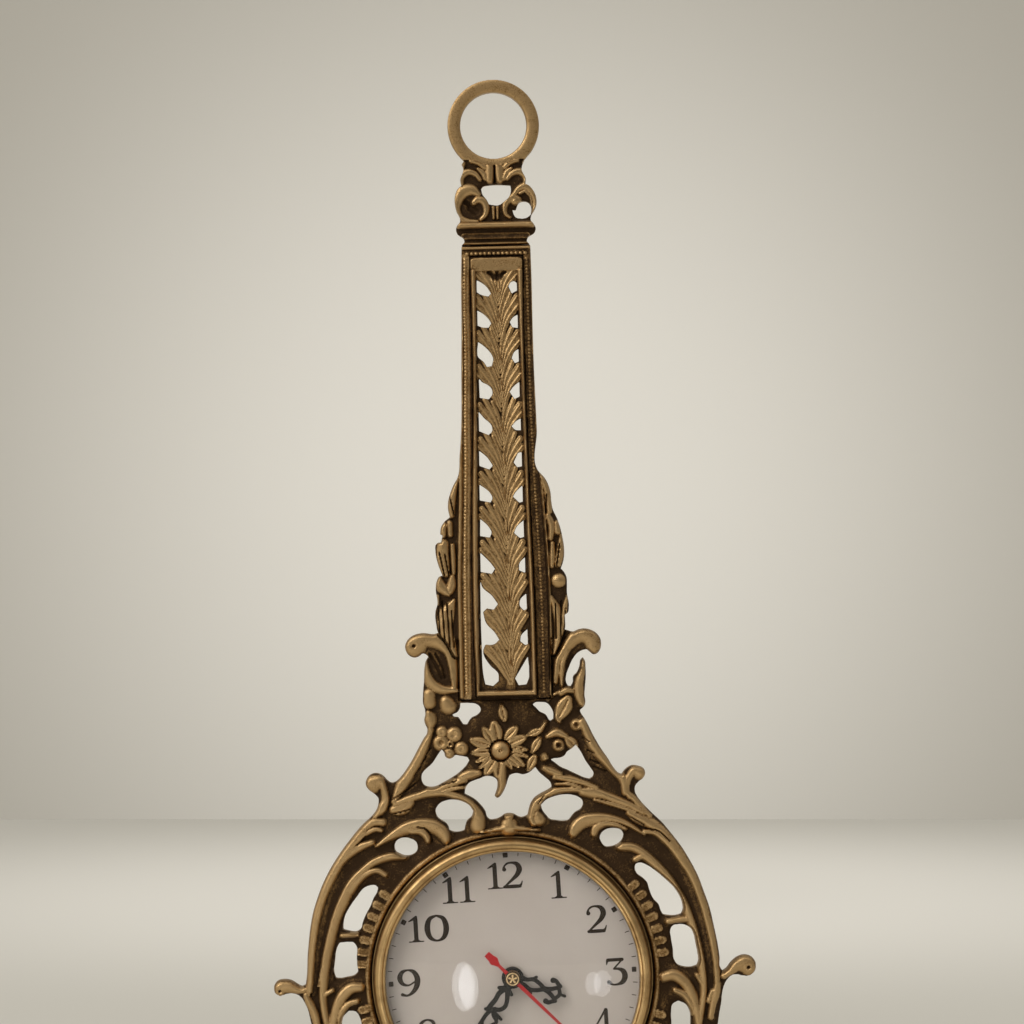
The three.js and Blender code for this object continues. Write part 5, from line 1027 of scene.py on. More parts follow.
def make_dial_frame(finish):
    field = outlined("dial_frame", 1.0, FRAME_STEP)
    field.pillow(3.0, 4.9, 5)
    field.strokes([wide(circle(RIDGE_RADIUS), 1.4)], bead, 6.0, 3.6, shine=0.32)
    field.strokes(RIM_SLOPES, swell, 5.7, 3.6, shine=0.45)
    for low, high in BRICK_TURNS:
        bricks(field, low, high)
    field.strokes(SIDE_FORMS + TOP_FORMS, swell, 5.3, FRAME_FOOT, shine=0.42, spread=SKIRT_SPREAD)
    field.strokes(SIDE_FORMS + TOP_FORMS, swell, FRAME_TOP, FRAME_FOOT, spread=FORM_SPREAD)
    lower = LOWER_FORMS + [mirrored(points) for points in LOWER_FORMS]
    field.strokes(lower, leaf, FRAME_TOP, FRAME_FOOT)
    field.strokes([shell_lobe(*lobe) for lobe in SHELL_LOBES], petal, FRAME_TOP, 3.8)
    field.strokes([blade(*points) for points in PETALS], petal, FRAME_TOP, 3.9, spread=1.38)
    for x, y, radius, pit in FRAME_KNOBS:
        field.knob(x, y, radius, FRAME_TOP, 4.2, pit)
    field.grooves([[(x, y, radius), (x + 0.05, y, radius)] for x, y, radius in FRAME_PITS], 1.5)
    field.grooves(FRAME_GROOVES, 1.1)
    field.weather(0.06, FRAME_TOP, base=0.25)
    field.roll_edges(2.4, FRAME_TOP, 1.5)
    (x0, y0), (x1, y1) = plan_box("daisy_boss")
    for seat in (tower_plan(field.twin()).inset > -0.6, field.reach() < BEZEL_RADIUS + 0.35,
                 field.reach(((x0 + x1) / 2, (y0 + y1) / 2)) < (x1 - x0) / 2 + 0.4):
        field.cap(seat, PLATE_FRONT)
    cast_piece("dial_frame_relief", "dial_frame", field, 0, finish)


# The tower: flanks with bead rows and leaves, round the pocket for the grille

TOWER_STEP = 0.34
TOWER_DEPTH = 4.0
TOWER_TOP = depths("tower_casting")[1] - 0.05
TOWER_FOOT = 5.6
BUD = (23.5, 169.8, 3.5)
BEADS_LEFT = [
    (-13.4, 309), (-13.8, 300), (-14.1, 265), (-14.7, 240), (-15, 220), (-15.8, 195), (-16.3, 175),
    (-16.6, 150), (-16.8, 121)]
BEADS_RIGHT = [
    (12.9, 309), (13, 300), (13.2, 270), (13.4, 240), (13.9, 225), (14.6, 205), (15.5, 185), (16.1, 165),
    (16.3, 150), (16.3, 121)]
RIDGE_LEFT = [
    (-15.2, 309, 0.9), (-15.9, 265, 1), (-16.9, 235, 1), (-17.5, 210, 1.1), (-18.2, 190, 1.2),
    (-18.9, 170, 1.2), (-19, 150, 1.2), (-19, 121, 1.2)]
RIDGE_RIGHT = [
    (15.2, 309, 0.8), (15.6, 265, 0.8), (16, 240, 0.7), (17, 215, 0.7), (18.4, 195, 0.7), (19.6, 170, 0.6),
    (19.8, 150, 0.6), (19.4, 121, 0.6)]
TOWER_LEAVES = [
    [(-19.2, 214.5, 1.1), (-20.6, 210, 1.7), (-21.5, 205, 1.9), (-21.7, 199, 1.5)],
    [(-25.5, 190.5, 1.5), (-25.2, 194.5, 1.6)], [(-22.4, 190.5, 1.3), (-22.5, 195.5, 1.3)],
    [(-25.7, 186.5, 2.6), (-25.4, 178, 2.8), (-24.5, 174, 1.8)],
    [(-21.6, 186, 1.1), (-21.4, 179, 1.2), (-21.3, 174, 0.9)],
    [(-28, 172, 1.4), (-27.2, 169, 2.4), (-25, 166.4, 2.1), (-23.7, 165, 1.1)],
    [(-22, 172.3, 1.3), (-22.4, 169, 2.1), (-23, 166.4, 1.7)], [(-28.2, 164.5, 0.7), (-28.3, 161, 0.7)],
    [(17.4, 214.5, 1), (19.3, 209.5, 1.6), (20.3, 203, 1.7), (20.2, 199.5, 1.2)],
    [(19.6, 198, 1.2), (21.2, 193, 1.7), (20.7, 188, 1.2)], [(23.3, 194.5, 1.3), (23.6, 190.8, 1.6)],
    [(25.2, 189, 1.1), (24.8, 183, 2), (23.4, 177, 1.6)],
    [(21.3, 186, 1), (21.2, 180, 1.4), (20.9, 176, 1)]]
TOWER_STALKS = [
    [(-21.5, 162.5, 1), (-24.4, 157, 3.8), (-25.3, 150, 3.6), (-23.5, 144, 2.7), (-21.3, 138, 1.2)],
    [(20.3, 163, 0.9), (22.6, 157, 2.6), (23.8, 150, 2.9), (22.6, 143, 2.1), (21, 137, 1)],
    [(27, 163, 0.9), (25.9, 158, 1.4), (25.6, 150, 1.2)]]
TOWER_GROOVES = [
    [(-27.3, 183, 0.45), (-25.2, 173, 0.4)], [(-24.9, 182, 0.45), (-23.4, 173, 0.4)],
    [(-22.9, 183, 0.5), (-22.6, 174, 0.45)], [(-22.3, 207, 0.4), (-20.6, 199, 0.4)],
    [(-28.4, 160, 0.4), (-27.7, 147, 0.4)], [(-26.6, 162, 0.45), (-25.7, 144, 0.4)],
    [(-24.5, 161, 0.45), (-23.6, 142, 0.4)], [(-22.6, 158, 0.4), (-21.9, 142, 0.35)],
    [(19.2, 207, 0.4), (18.8, 199, 0.4)], [(24.4, 185.5, 0.45), (22.9, 176, 0.4)],
    [(22, 160, 0.4), (22.1, 145, 0.35)], [(24.5, 161, 0.45), (23.9, 144, 0.35)],
    [(26.3, 158, 0.35), (25.5, 149, 0.35)]]
TOWER_FEET = [
    [(-26, 153, 3.3), (-25.6, 150.5, 3.5), (-23.2, 146, 2.6), (-21, 139, 1.2)],
    [(23, 153, 3), (22.9, 150.5, 3.2), (22.3, 146, 2.4), (20.6, 139, 1.2)],
    [(-21.5, 153, 2.2), (-21.3, 147, 2.2)], [(20.6, 153, 2), (20.5, 147, 2)],
    [(-14.3, 313.9, 0.4), (14.3, 313.9, 0.4)]]


def tower_plan(field):
    """The tower's outline, with the feet of the leaves that reach down behind the scrolls."""
    field.outline([curve(straightened(section("tower_casting", TOWER_DEPTH)[0]), closed=True, corner=50)])
    for points in TOWER_FEET:
        field.ink(points)
    return field


def make_tower(finish):
    field = tower_plan(grid_over("tower_casting", TOWER_STEP))
    pocket_z = depths("leaf_grille")[0]
    opening = section("tower_casting", TOWER_DEPTH)[1]
    field.inset = np.minimum(field.inset, -field.twin().outline([opening]).inset)
    pocket = field.twin().outline([section("tower_casting", pocket_z + 0.4)[1]]).inset > 0
    field.pillow(5.2, 6.4, 3)
    # Painted highlight and painted shade: the left bead strip and its beads are set polished and the right
    # ones dull, so the right flank is coloured darker, as for light from the left.
    field.strokes([wide(BEADS_LEFT, 2.4)], block, 6.7, 5.4, shine=0.88)
    field.strokes([wide(BEADS_RIGHT, 3.0)], block, 6.7, 5.4, shine=0.12)
    field.beads(BEADS_LEFT, 1.5, 0.95, 7.3, 6.1)
    field.beads(BEADS_RIGHT, 1.5, 0.85, 7.2, 6.1, shine=0.25)
    field.strokes([RIDGE_LEFT, RIDGE_RIGHT], bead, 8.0, 5.8)
    field.strokes([bar(15, 310.5, 2.6)], block, 6.7, 5.4, shine=0.5)
    field.strokes([bar(15, 313.2, 0.8)], bead, 8.0, 6.4)
    field.beads([(-13.3, 310.8), (13.3, 310.8)], 1.9, 0.95, 7.7, 6.4, shine=0.7)
    field.strokes(TOWER_STALKS, swell, TOWER_TOP - 0.5, TOWER_FOOT, shine=0.9)
    field.strokes(TOWER_LEAVES, swell, TOWER_TOP, TOWER_FOOT, spread=1.2)
    field.grooves(TOWER_GROOVES, 1.3)
    field.knob(*BUD, TOWER_TOP, 5.8)
    field.weather(0.05, TOWER_TOP)
    field.roll_edges(4.4, TOWER_TOP, 1.1, but=~field.below(313))
    field.height = np.where(pocket, pocket_z - CLEAR, field.height)
    field.tone = np.where(pocket, 0.95, field.tone)
    cast_piece("tower_relief", "tower_casting", field, PLATE_FRONT + CLEAR, finish)


# The grille: leaves that spring from a stem in pairs, tier over tier. A tier is the height of its
# leaves' root and the stem's x there. A strand is its root, its bend, its tip and its half width. Its
# root follows the stem's x in full, its bend less by the share given with it, and its tip not at all.

GRILLE_STEP = 0.3
GRILLE_FOOT = 6.9
GRILLE_TIERS = [
    (129, 2.3), (142.5, 2.5), (156.5, 2.3), (170.5, 2.1), (185, 1.8), (200, 1.6), (214.8, 1.4),
    (229.5, 1.2), (246, 1), (260.5, 0.8), (276, 0.6), (289.5, 0.5)]
GRILLE_STRANDS = [
    ((0.4, -3), (4.2, 6.5, 0.6), (9.4, 13), 1.9), ((0.3, -1), (3.5, 8.5, 0.6), (8.6, 16.2), 1.9),
    ((0.2, 1), (2.5, 10.5, 0.6), (6.2, 18.6), 1.5), ((0.1, 3), (1.2, 11.5, 0.6), (3, 17.5), 1.1)]
GRILLE_BORDER = [(10.1, 303), (11.2, 230), (11.6, 200), (12.4, 150), (12.4, 122)]


def strand(x, y, side, root, bend, tip, half):
    return [(x + side * root[0], y + root[1], 0.6), (x * (1 - bend[2]) + side * bend[0], y + bend[1], half),
            (side * tip[0], y + tip[1], half * 0.9)]


def make_grille(finish):
    back, top = depths("leaf_grille")
    field = outlined("leaf_grille", 7.9, GRILLE_STEP)
    field.pillow(6.4, 7.0, 1.6, shine=0.5)
    strands = [strand(x, y, side, *row)
               for y, x in GRILLE_TIERS for side in (-1, 1) for row in GRILLE_STRANDS]
    field.strokes(strands, leaf, 8.3, GRILLE_FOOT)
    field.strokes([[(2.2, 123, 2.6), (2.3, 134, 1.4)]], veined, 8.1, 6.7, shine=0.6)
    field.strokes([bar(9, 306, 3.4)], block, 8.4, 6.7, shine=0.9)
    field.grooves([[(-3.6, 302.6, 1), (0, 300.6, 2.6), (3.6, 302.6, 1)]], 1.6)
    border = wide(GRILLE_BORDER, 1.45)
    field.strokes([border, mirrored(border)], swell, top - 0.05, GRILLE_FOOT)
    field.strokes([bar(12.3, 122.1, 1.4)], swell, top - 0.1, GRILLE_FOOT)
    field.weather(0.04, base=0.26)
    field.roll_edges(6.0, top - 0.05, 0.9)
    cast_piece("grille_relief", "leaf_grille", field, back, finish)


# The crest: a cornice, scrolls and leaves under the ring

CREST_STEP = 0.26
CREST_TOP = depths("hanging_crest")[1] - 0.05
RING_AT = (0, 365.79)
# The ring's face: the radius of its middle, half its breadth, its outer edge, and how far out it
# covers the crest's forms below the height where it is whole
RING_MIDDLE, RING_HALF, RING_EDGE, RING_LAP = 17.1, 2.7, 19.8, 17.2
RING_WHOLE = 351
TONGUE_TOP = 2.98
CREST_FORMS = [
    [(-13.2, 349.6, 0.9), (-14.4, 346.8, 1)], [(13.2, 349.6, 0.9), (14.2, 346.8, 1)],
    [(-1.7, 350.4, 1.3), (-2, 346, 1.7), (-2.1, 342.2, 1.3)],
    [(1.9, 350.4, 1.3), (2.2, 346, 1.7), (2.3, 342.2, 1.3)],
    [(-10, 350.6, 0.8), (-6.5, 349.8, 1.1), (-4.2, 347.8, 1)],
    [(-7, 347.2, 0.6), (-5, 345.6, 1.1), (-3.9, 342.9, 0.9)],
    [(10, 350.6, 0.8), (6.8, 349.8, 1.1), (4.6, 347.8, 1)],
    [(7.3, 347.2, 0.6), (5.4, 345.6, 1.1), (4.2, 342.9, 0.9)],
    [(-14.6, 340.6, 1.2), (-14.2, 344.2, 1.4), (-11, 346, 1.2), (-8, 344.9, 1), (-6.2, 342.6, 0.8)],
    [(5.6, 342.8, 0.8), (7.6, 345, 1.1), (10.6, 345.8, 1.3), (13.4, 343.6, 1.3), (13.4, 340.8, 1)],
    [(-7, 336.4, 1), (-10, 338.3, 1.9), (-13.5, 337.6, 2.2), (-16, 334, 1.8), (-16.5, 330, 1.4),
     (-15.2, 326.5, 1.3), (-11.5, 324.7, 1.1), (-8, 324.5, 0.9)],
    [(-9.4, 332.4, 1), (-7.5, 334, 1.3), (-5, 333.4, 1.4), (-3.8, 330.3, 1.2), (-4.4, 327.3, 1),
     (-6.2, 325.5, 0.8)],
    [(8.3, 336, 0.9), (10.5, 338.5, 1.2), (13.5, 339.3, 1.5), (16.4, 336.3, 1.4), (17.3, 332, 1.1),
     (16.5, 328, 0.8)],
    [(9.6, 333.4, 1.7), (7.5, 334.5, 1.6), (5, 332.8, 1.3), (4.1, 330, 1), (4.7, 327.3, 0.8),
     (6.3, 326, 0.6)], [(-0.7, 325.8, 0.5), (-0.8, 330.5, 0.6)], [(1, 325.8, 0.5), (1, 330.5, 0.6)],
    [(10.7, 336.3, 0.6), (13, 337.4, 0.6), (15.2, 334.8, 0.5), (15.9, 331, 0.5)]]
CREST_HOLLOWS = [[(-10.5, 330.5, 2.4), (-8.5, 329, 2.4)], [(-12.5, 333, 1.6), (-11, 332, 1.6)]]
# Mouldings: half width, top, height on the tower, reach to each side, cross section and shine
CORNICE = [(1.7, CREST_TOP, 323, 15.6, bead, 1), (1.5, 7.0, 318.4, 13.4, scoop, 0.12),
           (0.7, 7.9, 315.2, 14, bead, 0.6)]


def make_crest(finish):
    field = outlined("hanging_crest", 3.5, CREST_STEP)
    field.pillow(4.8, 5.9, 2.5)
    field.strokes(CREST_FORMS, swell, 7.5, 5.2, spread=1.5)
    field.knob(8.6, 333, 2.2, 7.7, 5.4)
    field.grooves(CREST_HOLLOWS, 1.4)
    field.grooves([[(0, 350.5, 0.6), (0.1, 341.5, 0.6)]], 1.8)
    field.cap(field.below(321.4), 6.3)
    for half, top, y, reach, shape, shine in CORNICE:
        field.strokes([bar(reach, y, half)], shape, top, 5.4, shine=shine)
    field.weather(0.05, CREST_TOP)
    ring, y = field.reach(RING_AT), field.y[:, None]
    band = (ring < RING_EDGE) & ((y > RING_WHOLE) | (ring < RING_LAP))
    across = np.clip(np.abs(ring - RING_MIDDLE) / RING_HALF, 0, 1)
    field.height = np.where(band, 6.1 + 0.8 * np.sqrt(1 - across**3), field.height)
    field.tone = np.where(band, 0.26 - 0.22 * np.clip(across * 4 - 3, 0, 1), field.tone)
    shoulder = 0.8 * (12.9 + 0.75 * (RING_WHOLE - 0.1 - y) - np.abs(field.x[None, :]))
    neck = np.where(y > RING_WHOLE - 0.2, RING_EDGE - 0.05 - ring, shoulder)
    field.inset = np.where(y > 345, np.minimum(field.inset, neck), field.inset)
    field.roll_edges(3.6, CREST_TOP, 0.9, but=field.below(315.3))
    cast_piece("crest_relief", "hanging_crest", field, 2.0, finish)
    tongue = grid_over("hanging_crest", 0.5).outline([section("hanging_crest", 1.0)[0]])
    tongue.height[:] = TONGUE_TOP
    tongue.roll_edges(2.5, TONGUE_TOP, 0.6)
    cast_piece("crest_tongue", "hanging_crest", tongue, 0, finish)


# Turned and round pieces, from (radius, depth) profiles

BEZEL_BACK = 11.15
BEZEL_SKIRT = [(56.5, 0.75), (57.7, 0.75), (57.7, 3.35), (60.3, 3.35), (60.5, 3.6)]
BEZEL_WALL = [(59.75, 5.2), (59.45, 6.6), (59.3, 8.2), (59.3, 9.6)]
BEZEL_LIP = [(55.75, 11.75), (55.5, 11.9), (54.8, 11.75), (54.5, 11.45), (54.55, BEZEL_BACK),
             (56.5, BEZEL_BACK)]
LENS_RIM = 55.1
LENS_EDGE = 10.85
LENS_THICK = 1.2
DOME_STEPS = 26
DRUM_ROLL = 1.4


def arc(x, z, radius, start, end, steps, rise=None):
    """Points round (x, z) from one angle to another, on a circle or on an oval of another height."""
    rise = rise or radius
    return [(x + radius * math.cos(t), z + rise * math.sin(t)) for t in np.linspace(start, end, steps)]


def make_bezel(finish):
    front = depths("bezel")[1]
    foot = [(60.5 - 0.55 * (1 - math.cos(t)) + 0.05, 3.9 + 0.6 * math.sin(t) * 1.2)
            for t in np.linspace(0, math.pi / 2, 6)]
    crown = arc(57.0, 10.1, 2.3, 0.05, 2.05, 14, rise=front - 10.1)
    mesh = lathe("bezel_ring", BEZEL_SKIRT + foot + BEZEL_WALL + crown + BEZEL_LIP, sides=256, smooth=30)
    link(mesh, finish, "clock_body", "bezel", slot="turned_brass")


def dome(radius, edge, apex):
    """Points of a spherical cap from its rim to the axis."""
    rise = apex - edge
    sphere = (radius * radius + rise * rise) / (2 * rise)
    start = math.asin(radius / sphere)
    return [(sphere * math.sin(t), apex - sphere + sphere * math.cos(t))
            for t in np.linspace(start, 0, DOME_STEPS)]


def make_lens(finish):
    low, apex = depths("dome_lens")
    radius = plan_box("dome_lens")[1][0]
    profile = [(LENS_RIM, low), (radius, low), (radius, LENS_EDGE)]
    profile += dome(54.1, LENS_EDGE, apex) + dome(52.9, LENS_EDGE, apex - LENS_THICK)[::-1]
    profile += [(LENS_RIM, 9.6)]
    link(lathe("lens_dome", profile, smooth=8), finish, "clock_body", "dome_lens", slot="lens")


def make_boss(finish):
    (x0, y0), (x1, y1) = plan_box("daisy_boss")
    low, top = depths("daisy_boss")
    radius, foot = (x1 - x0) / 2, low + 1.3
    profile = [(0, low), (radius, low), (radius, foot)]
    profile += arc(0, foot, radius, 0.1, 1.35, 12, rise=top - foot)
    profile += [(0.75, top - 0.25), (0.45, top - 0.8), (0, top - 1)]
    mesh = lathe("daisy_button", profile, sides=64, at=((x0 + x1) / 2, (y0 + y1) / 2), closed=False)
    link(mesh, finish, "clock_body", "daisy_boss", slot="cast_brass")


def make_cap(finish):
    """The pressed brass cap with its small rosette."""
    low, top = depths("second_hand_cap")
    radius = plan_box("second_hand_cap")[1][0]
    field = Field((-radius - 0.4, -radius - 0.4), (radius + 0.4, radius + 0.4), 0.08)
    field.outline([np.array(circle(radius - 0.02, 96)[:-1])], reach=3)
    field.pillow(low + 0.5, top - 0.35, 1.6)
    turns = [2 * math.pi * k / 5 + 0.3 for k in range(5)]
    petals = [[(*polar(turn, 0.3), 0.3), (*polar(turn, 1.5), 0.5)] for turn in turns]
    field.strokes(petals, petal, top - 0.05, top - 0.6)
    field.strokes([wide(circle(2.5, 60), 0.35)], bead, top - 0.1, top - 0.7)
    field.age()
    mesh = cast_mesh("cap_rosette", field, low)
    link(mesh, finish, "seconds_arbor", "second_hand_cap", slot="turned_brass")


def ring_radii(node, depth):
    """The outer and inner radius of a round CAD solid at a depth."""
    return [math.sqrt(area(loop) / math.pi) for loop in section(node, depth)[:2]]


def make_drum(finish):
    """The spun drum behind the frame: a flange, a side with rolled corners and a lip at the wall."""
    back, front = depths("rear_drum")
    flange = plan_box("rear_drum")[1][0]
    outer, inner = ring_radii("rear_drum", (back + front) / 2)
    wall = outer - inner
    lip = ring_radii("rear_drum", back + wall / 2)[1]
    inward = arc(outer + DRUM_ROLL, front - wall - DRUM_ROLL, DRUM_ROLL, math.pi / 2, math.pi, 6)
    profile = [(flange, front), (flange, front - wall)] + inward
    profile += arc(outer - DRUM_ROLL, back + DRUM_ROLL, DRUM_ROLL, 0, -math.pi / 2, 6)
    profile += [(lip, back), (lip, back + wall), (inner, back + wall), (inner, front)]
    mesh = lathe("drum_shell", profile, sides=256, smooth=30)
    link(mesh, finish, "clock_body", "rear_drum", slot="turned_brass")


# Dial: card, minute track and numerals. A digit is a list of strokes of (x, y, half width) rows.

DIAL_TURN = math.radians(2.2)
INK_TOP = 3.6
INK_THICK = 0.06
# Marks of the minute track: inner radius, outer radius and half width, with the place of each line
# across the mark. An hour's mark is a block of five lines.
MINUTE_MARK, MINUTE_LINES = (51.8, 54.2, 0.17), (0,)
HOUR_MARK, HOUR_LINES = (51.5, 53.6, 0.32), (-0.76, -0.38, 0, 0.38, 0.76)
TRACK_RADIUS = 52
TRACK_STEP = 0.2
NUMERAL_STEP = 0.14
DIGIT_MIDDLE = 5.9
DIGIT_WIDTH = 1.06
DIGIT_WEIGHT = 1.2
# By the count of digits: half the breadth of a numeral's grid, and how tall its digits are drawn
NUMERAL_SIZES = {1: (5.2, 0.97), 2: (9.6, 0.93)}
DIGITS = {
    0: [
        [(0, 11.7, 0.36), (2.6, 10.4, 0.75), (3.7, 7.5, 1.0), (3.7, 4.4, 1.0), (2.6, 1.5, 0.75),
         (0, 0.15, 0.36), (-2.6, 1.5, 0.75), (-3.7, 4.4, 1.0), (-3.7, 7.5, 1.0), (-2.6, 10.4, 0.75),
         (0, 11.7, 0.36)]],
    1: [
        [(0, 1.1, 0.78), (0, 10.6, 0.78)], [(-2.7, 9.7, 0.2), (-1.3, 10.5, 0.42), (0.25, 11.55, 0.5)],
        [(-2.9, 0.22, 0.22), (2.9, 0.22, 0.22)], [(-1.5, 0.35, 0.2), (0, 0.75, 0.6), (1.5, 0.35, 0.2)]],
    2: [
        [(-3.1, 8.7, 0.75), (-3.2, 9.6, 0.42), (-2.1, 11.2, 0.36), (0.1, 11.65, 0.42), (2.2, 10.8, 0.8),
         (3.0, 8.7, 1.0), (2.2, 6.4, 0.86), (0, 3.9, 0.55), (-2.2, 1.8, 0.38), (-3.4, 0.6, 0.3)],
        [(-3.3, 0.62, 0.55), (0, 0.66, 0.66), (2.9, 0.66, 0.6)],
        [(2.9, 0.8, 0.55), (3.5, 1.6, 0.34), (3.9, 2.9, 0.18)]],
    3: [
        [(-2.9, 11.1, 0.6), (2.9, 11.1, 0.6)], [(-3.1, 11, 0.5), (-3.5, 9.2, 0.2)],
        [(3.1, 11.3, 0.35), (1.2, 9.2, 0.3), (-0.7, 7.1, 0.32)],
        [(-0.7, 7.1, 0.32), (1.3, 7.0, 0.5), (3.2, 5.8, 0.9), (3.7, 3.6, 1.02), (2.8, 1.4, 0.86),
         (0.7, 0.25, 0.45), (-1.6, 0.3, 0.36), (-2.9, 1.3, 0.75)]],
    4: [
        [(1.2, 0.3, 0.75), (1.2, 11.2, 0.7)], [(1.0, 11.3, 0.4), (-3.6, 3.4, 0.3)],
        [(-3.7, 3.2, 0.42), (3.7, 3.2, 0.42)], [(-0.9, 0.22, 0.22), (3.3, 0.22, 0.22)]],
    5: [
        [(-2.2, 11.0, 0.6), (2.8, 11.0, 0.55)], [(-2.5, 11.0, 0.3), (-2.9, 6.5, 0.3)],
        [(-2.9, 6.5, 0.3), (-0.6, 7.3, 0.45), (2.2, 6.4, 0.85), (3.4, 3.9, 1.0), (2.5, 1.4, 0.86),
         (0.4, 0.25, 0.45), (-1.8, 0.3, 0.36), (-3.0, 1.3, 0.75)]],
    6: [
        [(2.8, 10.9, 0.6), (0.9, 11.4, 0.4), (-1.6, 9.9, 0.7), (-3.4, 6.6, 1.0), (-3.5, 3.6, 1.0),
         (-2.0, 0.9, 0.7), (0.2, 0.2, 0.35), (2.4, 1.0, 0.7), (3.5, 3.5, 0.95), (2.5, 6.1, 0.65),
         (0.3, 6.9, 0.35), (-2.6, 5.4, 0.3)]],
    7: [
        [(-3.4, 11.0, 0.6), (3.2, 11.0, 0.6)], [(-3.5, 11, 0.4), (-3.7, 9.0, 0.2)],
        [(3.3, 11.2, 0.35), (1.2, 7.4, 0.55), (-0.5, 3.6, 0.85), (-1.0, 0.6, 0.95)]],
    8: [
        [(0.2, 6.4, 0.8), (-2.3, 7.9, 0.85), (-2.6, 9.8, 0.7), (0, 11.6, 0.36), (2.5, 10.2, 0.62),
         (2.4, 8.1, 0.5), (0.2, 6.4, 0.6), (-2.9, 4.7, 0.55), (-3.3, 2.2, 0.7), (0, 0.2, 0.4),
         (3.2, 1.8, 0.85), (3.0, 4.2, 0.95), (0.2, 6.4, 0.85)]],
}
DIGITS[9] = [[(-x, 11.8 - y, w) for x, y, w in DIGITS[6][0]]]

# Each numeral from one to twelve: degrees from twelve, radius, and its digits with their shifts
NUMERALS = [
    (30, 44, [(1, 0)]), (59, 43.5, [(2, 0)]), (90.6, 44.2, [(3, 0)]), (120, 43.5, [(4, 0)]),
    (150, 43.5, [(5, 0)]), (180, 43.5, [(6, 0)]), (210, 43.5, [(7, 0)]), (240, 43.5, [(8, 0)]),
    (270, 44.6, [(9, 0)]), (303, 41.8, [(1, -5.1), (0, 3.9)]),
    (331.5, 43.8, [(1, -3.7), (1, 3.7)]), (358.8, 43.5, [(1, -4), (2, 3.4)])]


def on_dial(turn, radius):
    """A place on the dial, clockwise from twelve in radians."""
    return radius * math.sin(turn - DIAL_TURN), radius * math.cos(turn - DIAL_TURN)


def turned(points, turn, at):
    """Rows of (x, y, half width), turned anticlockwise and moved."""
    c, s = math.cos(turn), math.sin(turn)
    return [(at[0] + x * c - y * s, at[1] + x * s + y * c, w) for x, y, w in points]


def print_piece(name, field, finish):
    link(sheet_mesh(name, field, INK_TOP - INK_THICK, INK_TOP), finish, "clock_body", slot="dial_card")


def make_dial(card, print_ink):
    low, top = depths("dial_card")
    radius = plan_box("dial_card")[1][0]
    hole = ring_radii("dial_card", (low + top) / 2)[1]
    face = top - INK_THICK
    mesh = lathe("dial_face", [(hole, low), (radius, low), (radius, face), (hole, face)], sides=160)
    link(mesh, card, "clock_body", "dial_card", slot="dial_card")
    track = Field((-56, -56), (56, 56), TRACK_STEP)
    for minute in range(60):
        mark, lines = (MINUTE_MARK, MINUTE_LINES) if minute % 5 else (HOUR_MARK, HOUR_LINES)
        for off in lines:
            turn = math.radians(minute * 6) + off / TRACK_RADIUS
            track.ink([(*on_dial(turn, radius), mark[2]) for radius in mark[:2]])
    print_piece("minute_track", track, print_ink)
    for hour, (degrees, radius, digits) in enumerate(NUMERALS, 1):
        at = on_dial(math.radians(degrees), radius)
        span, tall = NUMERAL_SIZES[len(digits)]
        numeral = Field((at[0] - span, at[1] - 7), (at[0] + span, at[1] + 7), NUMERAL_STEP)
        for digit, shift in digits:
            for stroke in DIGITS[digit]:
                rows = [(x * DIGIT_WIDTH + shift, (y - DIGIT_MIDDLE) * tall, w * DIGIT_WEIGHT)
                        for x, y, w in stroke]
                numeral.ink(turned(rows, DIAL_TURN, at))
        print_piece("numeral_%d" % hour, numeral, print_ink)


# Hands, from strokes along (u) and across (v) each hand

# Each hand: how far it is turned, how much its strokes are thickened, the corners of its grid, and
# the radii of its hub and its hole
HOUR_HAND = (110.8, 1.5, (-5.7, -6.5), (25.5, 6.5), 4.68, 2.75)
MINUTE_HAND = (210.5, 1.45, (-4.2, -5.5), (42, 5.5), 3.18, 1.83)
HAND_STEP = 0.13
BLADE_HALF = 0.22
HOUR_STROKES = [
    [(4.5, 1.2, 0.7), (5.9, 1.3, 0.6), (8.8, 2.25, 0.6), (11.5, 1.6, 0.6), (14.4, 0, 0.65)],
    [(8.6, 2.2, 0.6), (9.5, 3.6, 0.45)],
    [(14.4, 0, 0.75), (16.8, 0.8, 0.65), (18.6, 1.8, 0.6), (19.9, 2.6, 0.6)],
    [(19.7, 2.5, 0.55), (20.6, 3.3, 0.5), (19.1, 4.05, 0.6), (17.9, 4.9, 0.6), (16.7, 4.7, 0.8)],
    [(19.9, 2.5, 0.55), (20.7, 1.45, 0.55), (21.4, 0, 0.6)]]
HOUR_TIP = [(21.2, 0, 0.6), (23.6, 0, 0.65)]
